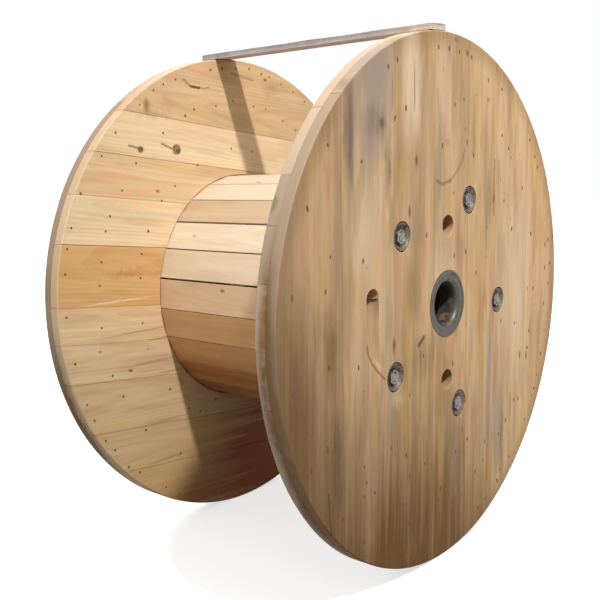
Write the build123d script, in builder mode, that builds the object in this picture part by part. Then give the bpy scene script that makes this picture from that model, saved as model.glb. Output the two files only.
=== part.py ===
from build123d import *
import os
from itertools import accumulate
from math import asin, atan, cos, degrees, pi, radians, sin, sqrt

# Wooden cable drum, in millimetres. It lies on its two rims, with its axis level along X.
# The origin is on the floor under the middle of the drum, and the front flange, the one with
# the cable hole, is on the +X side.

# Flanges: two crossed layers of planks each
FLANGE_DIAMETER = 1000.0
INNER_WIDTH = 490.0
PLANK_THICKNESS = 21.0
PLANK_GAP = 1.0
LAYER_ANGLE = 90.0
BACK_FLANGE_ANGLE = -5.5

# The first joint of each layer, from the drum's axis, and the widths of the planks from there
# on. The planks at the two rims are as wide as the flange leaves room for.
FRONT_OUTER_JOINT = -335.0
FRONT_OUTER_WIDTHS = (150.0, 133.0, 127.0, 117.0, 148.0)
FRONT_INNER_JOINT = -372.0
FRONT_INNER_WIDTHS = (92.0, 90.0, 86.0, 92.0, 100.0, 85.0, 75.0, 102.0)
BACK_INNER_JOINT = -378.0
BACK_INNER_WIDTHS = (88.0, 103.0, 77.0, 71.0, 119.0, 94.0, 84.0, 86.0)
BACK_OUTER_JOINT = -343.0
BACK_OUTER_WIDTHS = (145.0, 130.0, 128.0, 125.0, 140.0)

# Barrel: a ring of flat staves, let into a groove in each flange
BARREL_DIAMETER = 500.0
STAVE_COUNT = 25
STAVE_THICKNESS = 27.0
STAVE_GAP = 0.8
STAVE_JOINT_ANGLE = 127.5
STAVE_GROOVE_DEPTH = 8.0
STAVE_GROOVE_CLEARANCE = 0.5

# Tie rods just inside the staves, with a nut in a dished washer in a pocket at each end
ROD_COUNT = 5
ROD_DIAMETER = 16.0
ROD_TO_STAVES = 3.2
ROD_START_ANGLE = 67.1
ROD_HOLE_CLEARANCE = 0.5
ROD_STANDOUT = 1.0
ROD_END_TO_FACE = 1.0
WASHER_DIAMETER = 50.0
WASHER_TO_POCKET = 2.0
WASHER_THICKNESS = 4.0
WASHER_RIM_TO_FACE = 1.0
WASHER_RIM_WALL = 1.2
WASHER_FOOT_WIDTH = 2.5
NUT_TO_WASHER = 0.6
NUT_ACROSS_FLATS = 24.0
NUT_THICKNESS = 8.0
NUT_THREAD_CLEARANCE = 0.1

# Steel bushing for the spindle, one in each flange
BORE_DIAMETER = 80.0
BUSHING_WALL = 6.0
BUSHING_RING_DIAMETER = 128.0
BUSHING_RING_THICKNESS = 5.0
BUSHING_CLEARANCE = 0.3

# Holes for a driving pin, above and below the bore
DRIVE_HOLE_DIAMETER = 41.0
DRIVE_HOLE_RADIUS = 148.0
DRIVE_HOLE_COUNT = 2
DRIVE_HOLE_ANGLE = 90.0

# Cable hole in the front flange, with a groove that runs out of it to the face
CABLE_HOLE_DIAMETER = 37.0
CABLE_MOUTH_TO_BARREL = 3.0
CABLE_HOLE_ANGLE = 171.4
CABLE_HOLE_WALL = 3.0
CABLE_GROOVE_DEPTH = 24.0
CABLE_GROOVE_STRAIGHT = 38.0
CABLE_GROOVE_BEND_RADIUS = 138.0
CABLE_GROOVE_BEND_ANGLE = 45.0
CABLE_GROOVE_RUNOUT = 1.0

# Batten nailed across the tops of the two rims
BATTEN_WIDTH = 60.0
BATTEN_THICKNESS = 12.0
BATTEN_ANGLE = 94.5
BATTEN_SEAT_CLEARANCE = 0.2

# How far a cutter starts outside the timber
CUT_MARGIN = 2.0

# Sizes that follow from those above
FLANGE_RADIUS = FLANGE_DIAMETER / 2
BARREL_RADIUS = BARREL_DIAMETER / 2
FLANGE_THICKNESS = 2 * PLANK_THICKNESS
INNER_FACE = INNER_WIDTH / 2
OUTER_FACE = INNER_FACE + FLANGE_THICKNESS
STAVE_LENGTH = INNER_WIDTH + 2 * STAVE_GROOVE_DEPTH
STAVE_INNER_RADIUS = BARREL_RADIUS - STAVE_THICKNESS
STAVE_INNER_FLAT = STAVE_INNER_RADIUS * cos(pi / STAVE_COUNT)
ROD_RADIUS = ROD_DIAMETER / 2
ROD_CIRCLE_RADIUS = STAVE_INNER_FLAT - ROD_TO_STAVES - ROD_RADIUS
ROD_END = OUTER_FACE - ROD_END_TO_FACE
NUT_SEAT = ROD_END - ROD_STANDOUT - NUT_THICKNESS
POCKET_FLOOR = NUT_SEAT - WASHER_THICKNESS
POCKET_RADIUS = WASHER_DIAMETER / 2 + WASHER_TO_POCKET
WASHER_DEPTH = OUTER_FACE - WASHER_RIM_TO_FACE - POCKET_FLOOR
WASHER_SEAT_RADIUS = NUT_ACROSS_FLATS / sqrt(3) + NUT_TO_WASHER
WASHER_FOOT_RADIUS = WASHER_SEAT_RADIUS + WASHER_FOOT_WIDTH
BORE_RADIUS = BORE_DIAMETER / 2
TUBE_RADIUS = BORE_RADIUS + BUSHING_WALL
RING_RADIUS = BUSHING_RING_DIAMETER / 2
CABLE_HOLE_SIZE = CABLE_HOLE_DIAMETER / 2
CABLE_MOUTH_RADIUS = BARREL_RADIUS + CABLE_MOUTH_TO_BARREL

# The drum's own plane: its centre is on the axis, midway between the flanges. In a sketch on
# it, the first coordinate is across the flange and the second is up.
drum_plane = Plane(origin=(0, 0, FLANGE_RADIUS), x_dir=(0, 1, 0), z_dir=(1, 0, 0))


def at(distance):
    """The plane across the drum's axis at a distance towards the front."""
    return drum_plane.offset(distance)


def save(builder, name):
    """Name a finished piece and write its file."""
    builder.part.label = name
    export_step(builder.part, f"parts/{name}.step")


def plank_edges(first_joint, widths):
    """The two edges of every plank of a layer, with those at the rims just outside the flange."""
    joints = [joint for joint in accumulate(widths, initial=first_joint) if abs(joint) < FLANGE_RADIUS]
    beyond = FLANGE_RADIUS + PLANK_GAP
    return zip([-beyond] + joints, joints + [beyond])


def cut_flange(side):
    """What is cut from a flange: bushing seat, rod holes and pockets, pin holes, stave groove."""
    rods = PolarLocations(ROD_CIRCLE_RADIUS, ROD_COUNT, start_angle=ROD_START_ANGLE)
    outside = at(side * (OUTER_FACE + CUT_MARGIN))
    inside = at(side * (INNER_FACE - CUT_MARGIN))
    with BuildPart() as cuts:
        with BuildSketch(outside):
            Circle(TUBE_RADIUS + BUSHING_CLEARANCE)
            with rods:
                Circle(ROD_RADIUS + ROD_HOLE_CLEARANCE)
            with PolarLocations(DRIVE_HOLE_RADIUS, DRIVE_HOLE_COUNT, start_angle=DRIVE_HOLE_ANGLE):
                Circle(DRIVE_HOLE_DIAMETER / 2)
        extrude(amount=-side * (FLANGE_THICKNESS + 2 * CUT_MARGIN))
        with BuildSketch(outside):
            Circle(RING_RADIUS + BUSHING_CLEARANCE)
        extrude(amount=-side * (BUSHING_RING_THICKNESS + CUT_MARGIN))
        with BuildSketch(outside):
            with rods:
                Circle(POCKET_RADIUS)
        extrude(amount=-side * (OUTER_FACE - POCKET_FLOOR + CUT_MARGIN))
        with BuildSketch(inside):
            Circle(BARREL_RADIUS + STAVE_GROOVE_CLEARANCE)
            Circle(STAVE_INNER_FLAT - STAVE_GROOVE_CLEARANCE, mode=Mode.SUBTRACT)
        extrude(amount=side * (STAVE_GROOVE_DEPTH + CUT_MARGIN))
    return cuts.part


def cut_cable_hole():
    """The slanting cable hole, which comes out beside the barrel, and the groove that leads to it."""
    angle = radians(CABLE_HOLE_ANGLE)
    across = cos(angle)
    up = sin(angle)
    exit_radius = BARREL_RADIUS + CABLE_HOLE_SIZE + CABLE_HOLE_WALL
    slope = (exit_radius - CABLE_MOUTH_RADIUS) / FLANGE_THICKNESS
    way_in = Vector(-1, slope * across, slope * up)
    start_radius = CABLE_MOUTH_RADIUS - slope * CUT_MARGIN
    length = (FLANGE_THICKNESS + 2 * CUT_MARGIN) * way_in.length
    bend = radians(CABLE_GROOVE_BEND_ANGLE)
    run = CABLE_GROOVE_STRAIGHT + CABLE_GROOVE_BEND_RADIUS * sin(bend)
    ramp = asin((CABLE_GROOVE_DEPTH + CABLE_GROOVE_RUNOUT) / run)
    start = drum_plane.from_local_coords(
        Vector(
            CABLE_MOUTH_RADIUS * across,
            CABLE_MOUTH_RADIUS * up,
            OUTER_FACE + CABLE_HOLE_SIZE - CABLE_GROOVE_DEPTH,
        )
    )
    groove_plane = Plane(start, x_dir=(sin(ramp), 0, -cos(ramp)), z_dir=(cos(ramp), 0, sin(ramp)))
    with BuildPart() as cuts:
        with BuildSketch(at(OUTER_FACE + CUT_MARGIN)):
            with Locations((start_radius * across, start_radius * up)):
                Circle(CABLE_HOLE_SIZE)
        extrude(amount=length, dir=way_in)
        with BuildLine(groove_plane):
            level = Line((0, 0), (CABLE_GROOVE_STRAIGHT, 0))
            JernArc(level @ 1, level % 1, CABLE_GROOVE_BEND_RADIUS, CABLE_GROOVE_BEND_ANGLE)
        with BuildSketch(Plane(level @ 0, z_dir=level % 0)):
            Circle(CABLE_HOLE_SIZE)
        sweep()
    return cuts.part


def make_layer(name, start, depth, first_joint, widths, turn, cuts):
    """One layer of a flange: round-ended planks side by side, each a piece of its own."""
    for number, (low, high) in enumerate(plank_edges(first_joint, widths), 1):
        middle = (low + high) / 2
        with BuildPart() as plank:
            with BuildSketch(at(start)):
                Circle(FLANGE_RADIUS)
                with Locations((middle * cos(radians(turn)), middle * sin(radians(turn)))):
                    Rectangle(high - low - PLANK_GAP, FLANGE_DIAMETER, turn, mode=Mode.INTERSECT)
            extrude(amount=depth)
            for cut in cuts:
                add(cut, mode=Mode.SUBTRACT)
        save(plank, f"{name}_{number}")


def make_flanges():
    """The front flange, with its cable hole, and the back one, turned a little on the drum."""
    front_cuts = [cut_flange(1), cut_cable_hole()]
    back_cuts = [cut_flange(-1)]
    middle = INNER_FACE + PLANK_THICKNESS
    make_layer("front_outer_plank", middle, PLANK_THICKNESS,
               FRONT_OUTER_JOINT, FRONT_OUTER_WIDTHS, 0, front_cuts)
    make_layer("front_inner_plank", INNER_FACE, PLANK_THICKNESS,
               FRONT_INNER_JOINT, FRONT_INNER_WIDTHS, LAYER_ANGLE, front_cuts)
    make_layer("back_inner_plank", -INNER_FACE, -PLANK_THICKNESS,
               BACK_INNER_JOINT, BACK_INNER_WIDTHS, LAYER_ANGLE + BACK_FLANGE_ANGLE, back_cuts)
    make_layer("back_outer_plank", -middle, -PLANK_THICKNESS,
               BACK_OUTER_JOINT, BACK_OUTER_WIDTHS, BACK_FLANGE_ANGLE, back_cuts)


def make_staves():
    """The barrel: a polygon ring sawn at its corners, so that each flat side is one stave."""
    with BuildPart() as staves:
        with BuildSketch(at(-STAVE_LENGTH / 2)):
            RegularPolygon(BARREL_RADIUS, STAVE_COUNT, rotation=STAVE_JOINT_ANGLE)
            RegularPolygon(STAVE_INNER_RADIUS, STAVE_COUNT, rotation=STAVE_JOINT_ANGLE,
                           mode=Mode.SUBTRACT)
            with PolarLocations(BARREL_RADIUS, STAVE_COUNT, start_angle=STAVE_JOINT_ANGLE):
                Rectangle(2 * STAVE_THICKNESS + CUT_MARGIN, STAVE_GAP, mode=Mode.SUBTRACT)
        extrude(amount=STAVE_LENGTH)
    save(staves, "barrel_staves")


def make_rods():
    """The tie rods, which pass through both flanges inside the barrel."""
    places = PolarLocations(ROD_CIRCLE_RADIUS, ROD_COUNT, start_angle=ROD_START_ANGLE)
    for number, place in enumerate(places.locations, 1):
        with BuildPart() as rod:
            with BuildSketch(at(-ROD_END)):
                with Locations(place):
                    Circle(ROD_RADIUS)
            extrude(amount=2 * ROD_END)
        save(rod, f"tie_rod_{number}")
        for name, side in (("front", 1), ("back", -1)):
            with BuildPart() as nut:
                with BuildSketch(at(side * NUT_SEAT)):
                    with Locations(place):
                        RegularPolygon(NUT_ACROSS_FLATS / 2, 6, major_radius=False)
                        Circle(ROD_RADIUS + NUT_THREAD_CLEARANCE, mode=Mode.SUBTRACT)
                extrude(amount=side * NUT_THICKNESS)
            save(nut, f"{name}_nut_{number}")


def round_the_rods(x, radius):
    """A circle round each tie rod, drawn across the drum at x."""
    with BuildSketch(at(x)) as circles:
        with PolarLocations(ROD_CIRCLE_RADIUS, ROD_COUNT, start_angle=ROD_START_ANGLE):
            Circle(radius)
    return circles.sketch


def make_washers(name, side):
    """The five dished washers of a flange, each a cup on the floor of its pocket."""
    outside = WASHER_DIAMETER / 2 - WASHER_FOOT_RADIUS
    inside = WASHER_DIAMETER / 2 - WASHER_RIM_WALL - WASHER_SEAT_RADIUS
    dish_depth = WASHER_DEPTH - WASHER_THICKNESS
    foot = round_the_rods(side * POCKET_FLOOR, WASHER_FOOT_RADIUS)
    seat = round_the_rods(side * NUT_SEAT, WASHER_SEAT_RADIUS)
    hole = round_the_rods(side * POCKET_FLOOR, ROD_RADIUS + ROD_HOLE_CLEARANCE)
    with BuildPart() as washers:
        extrude(foot, amount=side * WASHER_DEPTH, taper=-degrees(atan(outside / WASHER_DEPTH)))
        extrude(seat, amount=side * dish_depth, taper=-degrees(atan(inside / dish_depth)), mode=Mode.SUBTRACT)
        extrude(hole, amount=side * WASHER_DEPTH, mode=Mode.SUBTRACT)
    save(washers, f"{name}_washers")


def make_bushing(name, side):
    """A steel tube through the flange, with a ring let in flush with the planks."""
    with BuildPart() as bushing:
        with BuildSketch(at(side * INNER_FACE)):
            Circle(TUBE_RADIUS)
        extrude(amount=side * FLANGE_THICKNESS)
        with BuildSketch(at(side * OUTER_FACE)):
            Circle(RING_RADIUS)
        extrude(amount=-side * BUSHING_RING_THICKNESS)
        with BuildSketch(at(side * INNER_FACE)):
            Circle(BORE_RADIUS)
        extrude(amount=side * FLANGE_THICKNESS, mode=Mode.SUBTRACT)
    save(bushing, f"{name}_bushing")


def make_batten():
    """The thin batten that ties the tops of the two rims."""
    seat = FLANGE_RADIUS + BATTEN_SEAT_CLEARANCE + BATTEN_THICKNESS / 2
    with BuildPart() as batten:
        with BuildSketch(at(-OUTER_FACE)):
            with PolarLocations(seat, 1, start_angle=BATTEN_ANGLE):
                Rectangle(BATTEN_THICKNESS, BATTEN_WIDTH)
        extrude(amount=2 * OUTER_FACE)
    save(batten, "top_batten")


os.makedirs("parts", exist_ok=True)
make_flanges()
make_staves()
make_rods()
make_washers("front", 1)
make_washers("back", -1)
make_bushing("front", 1)
make_bushing("back", -1)
make_batten()
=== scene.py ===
# %% [markdown]
# # A wooden cable drum
#
# This lesson dresses a wooden cable drum: two round flanges of crossed planks, a barrel of narrow
# staves between them, steel bushings and tie rods, and a thin batten nailed across the top.
#
# The construction is loaded first, as a fixed frame in metres. Each cell after that makes one
# piece or one finish, and explains how such a thing is made and why this way was chosen.

# %% Load the frame
from math import atan2, cos, degrees, pi, radians, sin, tan
from random import Random

import bmesh
import bpy
import numpy as np
from mathutils import Matrix, Vector
from mathutils.bvhtree import BVHTree


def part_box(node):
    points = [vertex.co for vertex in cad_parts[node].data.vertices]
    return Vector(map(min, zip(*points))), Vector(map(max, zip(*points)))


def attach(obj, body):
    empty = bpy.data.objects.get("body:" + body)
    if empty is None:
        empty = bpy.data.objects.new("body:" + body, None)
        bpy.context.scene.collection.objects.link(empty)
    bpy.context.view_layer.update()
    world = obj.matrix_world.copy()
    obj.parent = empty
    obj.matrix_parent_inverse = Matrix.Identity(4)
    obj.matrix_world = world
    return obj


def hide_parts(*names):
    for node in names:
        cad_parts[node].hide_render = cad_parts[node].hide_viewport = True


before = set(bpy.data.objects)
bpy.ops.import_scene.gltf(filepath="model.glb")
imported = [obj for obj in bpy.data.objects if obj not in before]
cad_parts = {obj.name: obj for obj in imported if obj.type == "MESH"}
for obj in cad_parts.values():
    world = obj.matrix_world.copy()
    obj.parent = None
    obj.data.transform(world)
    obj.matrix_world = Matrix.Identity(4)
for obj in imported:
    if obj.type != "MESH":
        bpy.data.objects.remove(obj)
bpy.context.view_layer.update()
print("pieces in the frame:", len(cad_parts))

# %% [markdown]
# ## Where things are
#
# The drum lies on its rims with its axis level along X. Everything else is measured from the
# frame, so the pieces made here land where the construction says: the height of the axis, the
# two faces of each flange and the radius of the rim.

# %% Measure the drum
BACK_TURN = radians(-5.5)
rim_low, rim_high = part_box("front_outer_plank_4")
RIM_RADIUS = (rim_high.z - rim_low.z) / 2
AXIS = Vector((0, 0, RIM_RADIUS))
OUTER_FACE = rim_high.x
INNER_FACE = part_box("front_inner_plank_5")[0].x


def how_many(start):
    """How many pieces of the frame have a name that starts so."""
    return sum(name.startswith(start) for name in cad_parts)


print("rim radius", round(RIM_RADIUS, 4), "m, and tie rods:", how_many("tie_rod_"))
print("outer face at", round(OUTER_FACE, 4), "m, inner face at", round(INNER_FACE, 4), "m")

# %% [markdown]
# ## The camera
#
# The camera stands where the photographer stood: in front of the drum, to its left, a little
# above the axis. Its place and lens were found by fitting a pinhole camera to the rims, the bolts
# and the joints. A rotation built from three turns (round the vertical, up or down, then roll)
# is easier to read than four quaternion numbers.

# %% Set up the camera
CAMERA_PLACE = Vector((1.0897, -1.4167, 0.7457))
CAMERA_TURN = radians(39.48)
CAMERA_TILT = radians(-8.30)
CAMERA_ROLL = radians(-0.93)
CAMERA_LENS = 51.2
CAMERA_SENSOR = 36.0

camera_data = bpy.data.cameras.new("camera")
camera_data.lens = CAMERA_LENS
camera_data.sensor_width = CAMERA_SENSOR
camera = bpy.data.objects.new("camera", camera_data)
bpy.context.scene.collection.objects.link(camera)
aim = (
    Matrix.Rotation(CAMERA_TURN, 4, "Z")
    @ Matrix.Rotation(radians(90) + CAMERA_TILT, 4, "X")
    @ Matrix.Rotation(CAMERA_ROLL, 4, "Z")
)
camera.matrix_world = Matrix.Translation(CAMERA_PLACE) @ aim
bpy.context.scene.camera = camera
print("camera", round((CAMERA_PLACE - AXIS).length, 2), "m from the middle of the drum")

# %% [markdown]
# ## Short helpers for node trees
#
# Every finish below is a node tree. Written out in full, each node takes four lines, and the idea
# drowns. These helpers add a node and plug it in at once: a value that is a socket becomes a link,
# and any other value is typed into the input.

# %% Node helpers
def node(tree, kind, inputs=None, **settings):
    """Adds a shader node. Inputs are given by name or number, as values or as sockets."""
    made = tree.nodes.new("ShaderNode" + kind)
    for name, value in settings.items():
        setattr(made, name, value)
    for key, value in (inputs or {}).items():
        if isinstance(value, bpy.types.NodeSocket):
            tree.links.new(value, made.inputs[key])
        else:
            made.inputs[key].default_value = value
    return made


def maths(tree, operation, *values):
    """One sum, with its answer as a socket."""
    return node(tree, "Math", dict(enumerate(values)), operation=operation).outputs[0]


def vectors(tree, operation, *values):
    """One vector sum. A length or a distance comes out as a number."""
    made = node(tree, "VectorMath", dict(enumerate(values)), operation=operation)
    return made.outputs["Value" if operation in ("LENGTH", "DISTANCE", "DOT_PRODUCT") else "Vector"]


def ramp(tree, value, low, high, start=0.0, end=1.0):
    """A soft step from start to end while value goes from low to high."""
    inputs = {"Value": value, "From Min": low, "From Max": high, "To Min": start, "To Max": end}
    return node(tree, "MapRange", inputs, interpolation_type="SMOOTHSTEP").outputs["Result"]


def blend(tree, factor, first, second, mode="MIX"):
    """Two colours mixed by a factor."""
    made = node(tree, "Mix", {0: factor, 6: first, 7: second}, data_type="RGBA", blend_type=mode)
    return made.outputs[2]


def noise(tree, vector, stretch, detail=2.0, roughness=0.5):
    """Cloudy noise, with its own number of clouds a metre along each axis."""
    stretched = vectors(tree, "MULTIPLY", vector, stretch)
    inputs = {"Vector": stretched, "Scale": 1.0, "Detail": detail, "Roughness": roughness}
    return node(tree, "TexNoise", inputs)


def new_material(name):
    """An empty node material, with its Principled shader and the tree to build in."""
    made = bpy.data.materials.new(name)
    made.use_nodes = True
    tree = made.node_tree
    return made, tree, tree.nodes["Principled BSDF"]


print("helpers for node trees: node, maths, vectors, ramp, blend, noise and new_material")

# %% [markdown]
# ## Light
#
# One lamp does the work: a small soft spot, high up and in front of the flange with the cable
# hole. Its shadows show how the drum is built, such as the batten's stripe across the far flange
# and the front flange's long shadow below the barrel. Its cone is soft from the middle to the
# edge, so the light fades gently towards the foot of the drum. Two broad lamps help it: one beside
# the drum for the rims and the lower staves, and one behind it, which keeps the hidden side
# readable.

# %% Lamps
KEY_DIRECTION = Vector((0.548, -0.263, 0.795)).normalized()
KEY_DISTANCE = 5.0
KEY_POWER = 1200.0
KEY_RADIUS = 0.13
KEY_AIM = AXIS + Vector((-0.20, 0.32, 0.24))
KEY_CONE = radians(36)
FILL_PLACE = Vector((-2.6, 1.9, 1.9))
FILL_POWER = 90.0
SIDE_PLACE = Vector((0.1, -3.0, 1.7))
SIDE_POWER = 32.0
BROAD_LAMP_SIZE = 1.6


def add_lamp(name, kind, place, aim_at, power):
    """A lamp that looks at a point."""
    data = bpy.data.lights.new(name, kind)
    data.energy = power
    lamp = bpy.data.objects.new(name, data)
    lamp.location = place
    lamp.rotation_mode = "QUATERNION"
    lamp.rotation_quaternion = (aim_at - place).to_track_quat("-Z", "Y")
    bpy.context.scene.collection.objects.link(lamp)
    return data


key = add_lamp("key_lamp", "SPOT", AXIS + KEY_DIRECTION * KEY_DISTANCE, KEY_AIM, KEY_POWER)
key.shadow_soft_size = KEY_RADIUS
key.spot_size = KEY_CONE
key.spot_blend = 1.0
add_lamp("fill_lamp", "AREA", FILL_PLACE, AXIS, FILL_POWER).size = BROAD_LAMP_SIZE
add_lamp("side_lamp", "AREA", SIDE_PLACE, AXIS, SIDE_POWER).size = BROAD_LAMP_SIZE
print("key lamp", KEY_DISTANCE, "m away, and two lamps of", BROAD_LAMP_SIZE, "m")

# %% [markdown]
# ## The sky
#
# The sky fills the shadows: more from above, and less from the sides. A picture of a real sky
# would tint the wood, so this one is plain. It looks white to the camera and in reflections, and
# the Light Path node tells those rays apart from the light that falls on the drum.

# %% Sky
WHITE = (1.0, 1.0, 1.0, 1.0)
SKY_ABOVE = 1.30
SKY_BESIDE = 0.16


def seen_directly(tree):
    """1 on the camera's rays and on those in gloss and glass, 0 on light that falls on things."""
    rays = node(tree, "LightPath").outputs
    seen = maths(tree, "MAXIMUM", rays["Is Camera Ray"], rays["Is Glossy Ray"])
    return maths(tree, "MAXIMUM", seen, rays["Is Transmission Ray"])


world = bpy.data.worlds.new("sky")
bpy.context.scene.world = world
world.use_nodes = True
sky = world.node_tree
sky_light = sky.nodes["Background"]
sky_light.inputs["Color"].default_value = WHITE
height = node(sky, "SeparateXYZ", {0: node(sky, "TexCoord").outputs["Generated"]}).outputs["Z"]
dome = ramp(sky, height, 0.0, 1.0, SKY_BESIDE, SKY_ABOVE)
sky.links.new(maths(sky, "MAXIMUM", seen_directly(sky), dome), sky_light.inputs["Strength"])
bpy.context.scene.view_settings.view_transform = "Standard"
print("sky from", SKY_BESIDE, "at the sides to", SKY_ABOVE, "above")

# %% [markdown]
# ## The floor
#
# A plain pale floor that catches the drum's shadow. It is part glow and part matt paint: the glow
# keeps it pale, and the paint shows where the light is blocked. Away from the drum the glow grows
# until the floor is as white as the sky, so that no horizon cuts the picture in two. Light that
# bounces on to the drum meets a darker floor, because a white one would wash out the deep brown
# under the barrel.

# %% Floor
FLOOR_SIZE = 40.0
FLOOR_GLOW = 0.66
FLOOR_PAINT = 0.40
FLOOR_BOUNCE = 0.13
FADE_START = 0.9
FADE_END = 3.2

floor_mesh = bpy.data.meshes.new("floor")
reach = FLOOR_SIZE / 2
corners = [(x * reach, y * reach, 0) for x, y in ((-1, -1), (1, -1), (1, 1), (-1, 1))]
floor_mesh.from_pydata(corners, [], [(0, 1, 2, 3)])
floor = bpy.data.objects.new("floor", floor_mesh)
bpy.context.scene.collection.objects.link(floor)
floor_paint, tree, matt = new_material("floor_paint")
matt.inputs["Roughness"].default_value = 1.0
matt.inputs["Specular IOR Level"].default_value = 0.0
seen = seen_directly(tree)
shade = ramp(tree, seen, 0.0, 1.0, FLOOR_BOUNCE, FLOOR_PAINT)
paint = node(tree, "CombineColor", {0: shade, 1: shade, 2: shade}).outputs[0]
tree.links.new(paint, matt.inputs["Base Color"])
matt.inputs["Emission Color"].default_value = WHITE
distance = vectors(tree, "LENGTH", node(tree, "TexCoord").outputs["Object"])
glow = ramp(tree, distance, FADE_START, FADE_END, FLOOR_GLOW, 1.0)
tree.links.new(maths(tree, "MULTIPLY", seen, glow), matt.inputs["Emission Strength"])
floor_mesh.materials.append(floor_paint)
print("floor", FLOOR_SIZE, "m across")

# %% [markdown]
# ## Helpers for patterns in the wood
#
# Every pattern on the timber starts from a place that the mesh carries, and not from a flat
# picture. These helpers read such a place, shake it by cloudy noise, stretch it, and strew points
# over it. The last one starts a node group, a small tree that several finishes can share.

# %% Pattern helpers
MIDDLE_GREY = (0.5, 0.5, 0.5)


def attribute(tree, name):
    """The vector that each vertex carries under a name."""
    return node(tree, "Attribute", attribute_name=name).outputs["Vector"]


def times(tree, vector, number):
    """A vector made longer or shorter by one number, which may be a socket."""
    return node(tree, "VectorMath", {0: vector, "Scale": number}, operation="SCALE").outputs["Vector"]


def wobble(tree, place, stretch, detail=2.0, roughness=0.5):
    """Cloudy noise as a vector that points either way, so that it is 0 on average."""
    clouds = noise(tree, place, stretch, detail, roughness).outputs["Color"]
    return vectors(tree, "SUBTRACT", clouds, MIDDLE_GREY)


def strewn(tree, place, cells, shape, randomness):
    """Points strewn over the boards: the way from the nearest one, and its random colour."""
    cell_place = vectors(tree, "MULTIPLY", place, cells)
    inputs = {"Vector": cell_place, "Scale": 1.0, "Randomness": randomness}
    near = node(tree, "TexVoronoi", inputs, voronoi_dimensions="2D")
    away = vectors(tree, "SUBTRACT", cell_place, near.outputs["Position"])
    chances = node(tree, "SeparateColor", {0: near.outputs["Color"]}).outputs
    return vectors(tree, "MULTIPLY", away, shape), chances


def new_group(name, inputs, outputs):
    """An empty node group: its tree, the sockets that it is given and those that it fills."""
    tree = bpy.data.node_groups.new(name, "ShaderNodeTree")
    for socket, kind in inputs.items():
        tree.interface.new_socket(socket, in_out="INPUT", socket_type="NodeSocket" + kind)
    for socket in outputs:
        tree.interface.new_socket(socket, in_out="OUTPUT", socket_type="NodeSocketFloat")
    given = tree.nodes.new("NodeGroupInput").outputs
    filled = tree.nodes.new("NodeGroupOutput").inputs
    return tree, given, filled


print("helpers for patterns: attribute, times, wobble, strewn and new_group")

# %% [markdown]
# ## How wood is drawn: the grain
#
# A plank is sawn out of a log, so its pattern is a slice through the log's rings. The picture on
# its face, its edges and its ends is one and the same pattern in space. That is why the grain is
# a solid texture here: rings round a pith line that runs along the plank. On the face they show
# as long lines and pointed arches, and on a sawn end as arcs, with nothing to line up by hand.
#
# Each vertex carries a place in its own log, in an attribute called grain: x along the plank, and
# y and z away from the pith. A node group turns that into rings, fibres and broad streaks, and
# scatters a few small knots that push the rings aside.

# %% Grain group
GRAIN_PARTS = ("Rings", "Fibres", "Streaks", "Knot", "Knot halo")
RINGS_SCALE = 62.0
RINGS_DISTORTION = 0.6
RINGS_DETAIL_SCALE = 0.4
LATE_WOOD = (0.35, 0.95)
FIBRE_STRETCH = (14.0, 620.0, 620.0)
STREAK_STRETCH = (1.5, 48.0, 48.0)
DRIFT_STRETCH = (1.4, 7.0, 7.0)
DRIFT = (0.0, 0.030, 0.030)
KNOT_CELLS = (2.1, 7.5, 0.0)
KNOT_SHAPE = (1 / KNOT_CELLS[0], 1 / KNOT_CELLS[1], 0.0)
KNOT_STRAYING = 0.9
KNOT_SIZES = (-0.004, 0.010)
KNOT_EDGE = (0.002, -0.0015)
KNOT_PUSH = (0.0, 0.010, 0.006)
HALO_SHAPE = (0.35, 1.0, 1.0)
HALO_REACH = 3.2
HALO_EDGE = (1.0, 0.1)
LEAST_REACH = 0.00001


def add_knots(tree, place, asked):
    """Scattered knots, and round each one the halo in which it pushes the rings aside."""
    away, chances = strewn(tree, place, KNOT_CELLS, KNOT_SHAPE, KNOT_STRAYING)
    size = ramp(tree, chances["Red"], maths(tree, "SUBTRACT", 1.0, asked), 1.0, *KNOT_SIZES)
    distance = vectors(tree, "LENGTH", away)
    knot = ramp(tree, maths(tree, "SUBTRACT", distance, size), *KNOT_EDGE)
    along = vectors(tree, "LENGTH", vectors(tree, "MULTIPLY", away, HALO_SHAPE))
    reach = maths(tree, "MAXIMUM", maths(tree, "MULTIPLY", size, HALO_REACH), LEAST_REACH)
    return knot, ramp(tree, maths(tree, "DIVIDE", along, reach), *HALO_EDGE)


def grain_group():
    """Rings, fibres, streaks and scattered knots, from a plank's place in its log."""
    tree, given, filled = new_group("grain", {"Knots": "Float"}, GRAIN_PARTS)
    place = attribute(tree, "grain")
    knot, halo = add_knots(tree, place, given["Knots"])
    drift = vectors(tree, "MULTIPLY", wobble(tree, place, DRIFT_STRETCH), DRIFT)
    drifted = vectors(tree, "ADD", place, drift)
    wave_inputs = {
        "Vector": vectors(tree, "ADD", drifted, times(tree, KNOT_PUSH, halo)),
        "Scale": RINGS_SCALE,
        "Distortion": RINGS_DISTORTION,
        "Detail": 2.0,
        "Detail Scale": RINGS_DETAIL_SCALE,
    }
    wave = node(tree, "TexWave", wave_inputs, wave_type="RINGS", rings_direction="X", wave_profile="SAW")
    rings = ramp(tree, wave.outputs["Fac"], *LATE_WOOD)
    fibres = noise(tree, place, FIBRE_STRETCH, 2.0, 0.6).outputs["Fac"]
    streaks = noise(tree, place, STREAK_STRETCH, 4.0, 0.6).outputs["Fac"]
    for name, socket in zip(GRAIN_PARTS, (rings, fibres, streaks, knot, halo), strict=True):
        tree.links.new(socket, filled[name])
    return tree


grain = grain_group()
print("grain group:", len(grain.nodes), "nodes")

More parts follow.
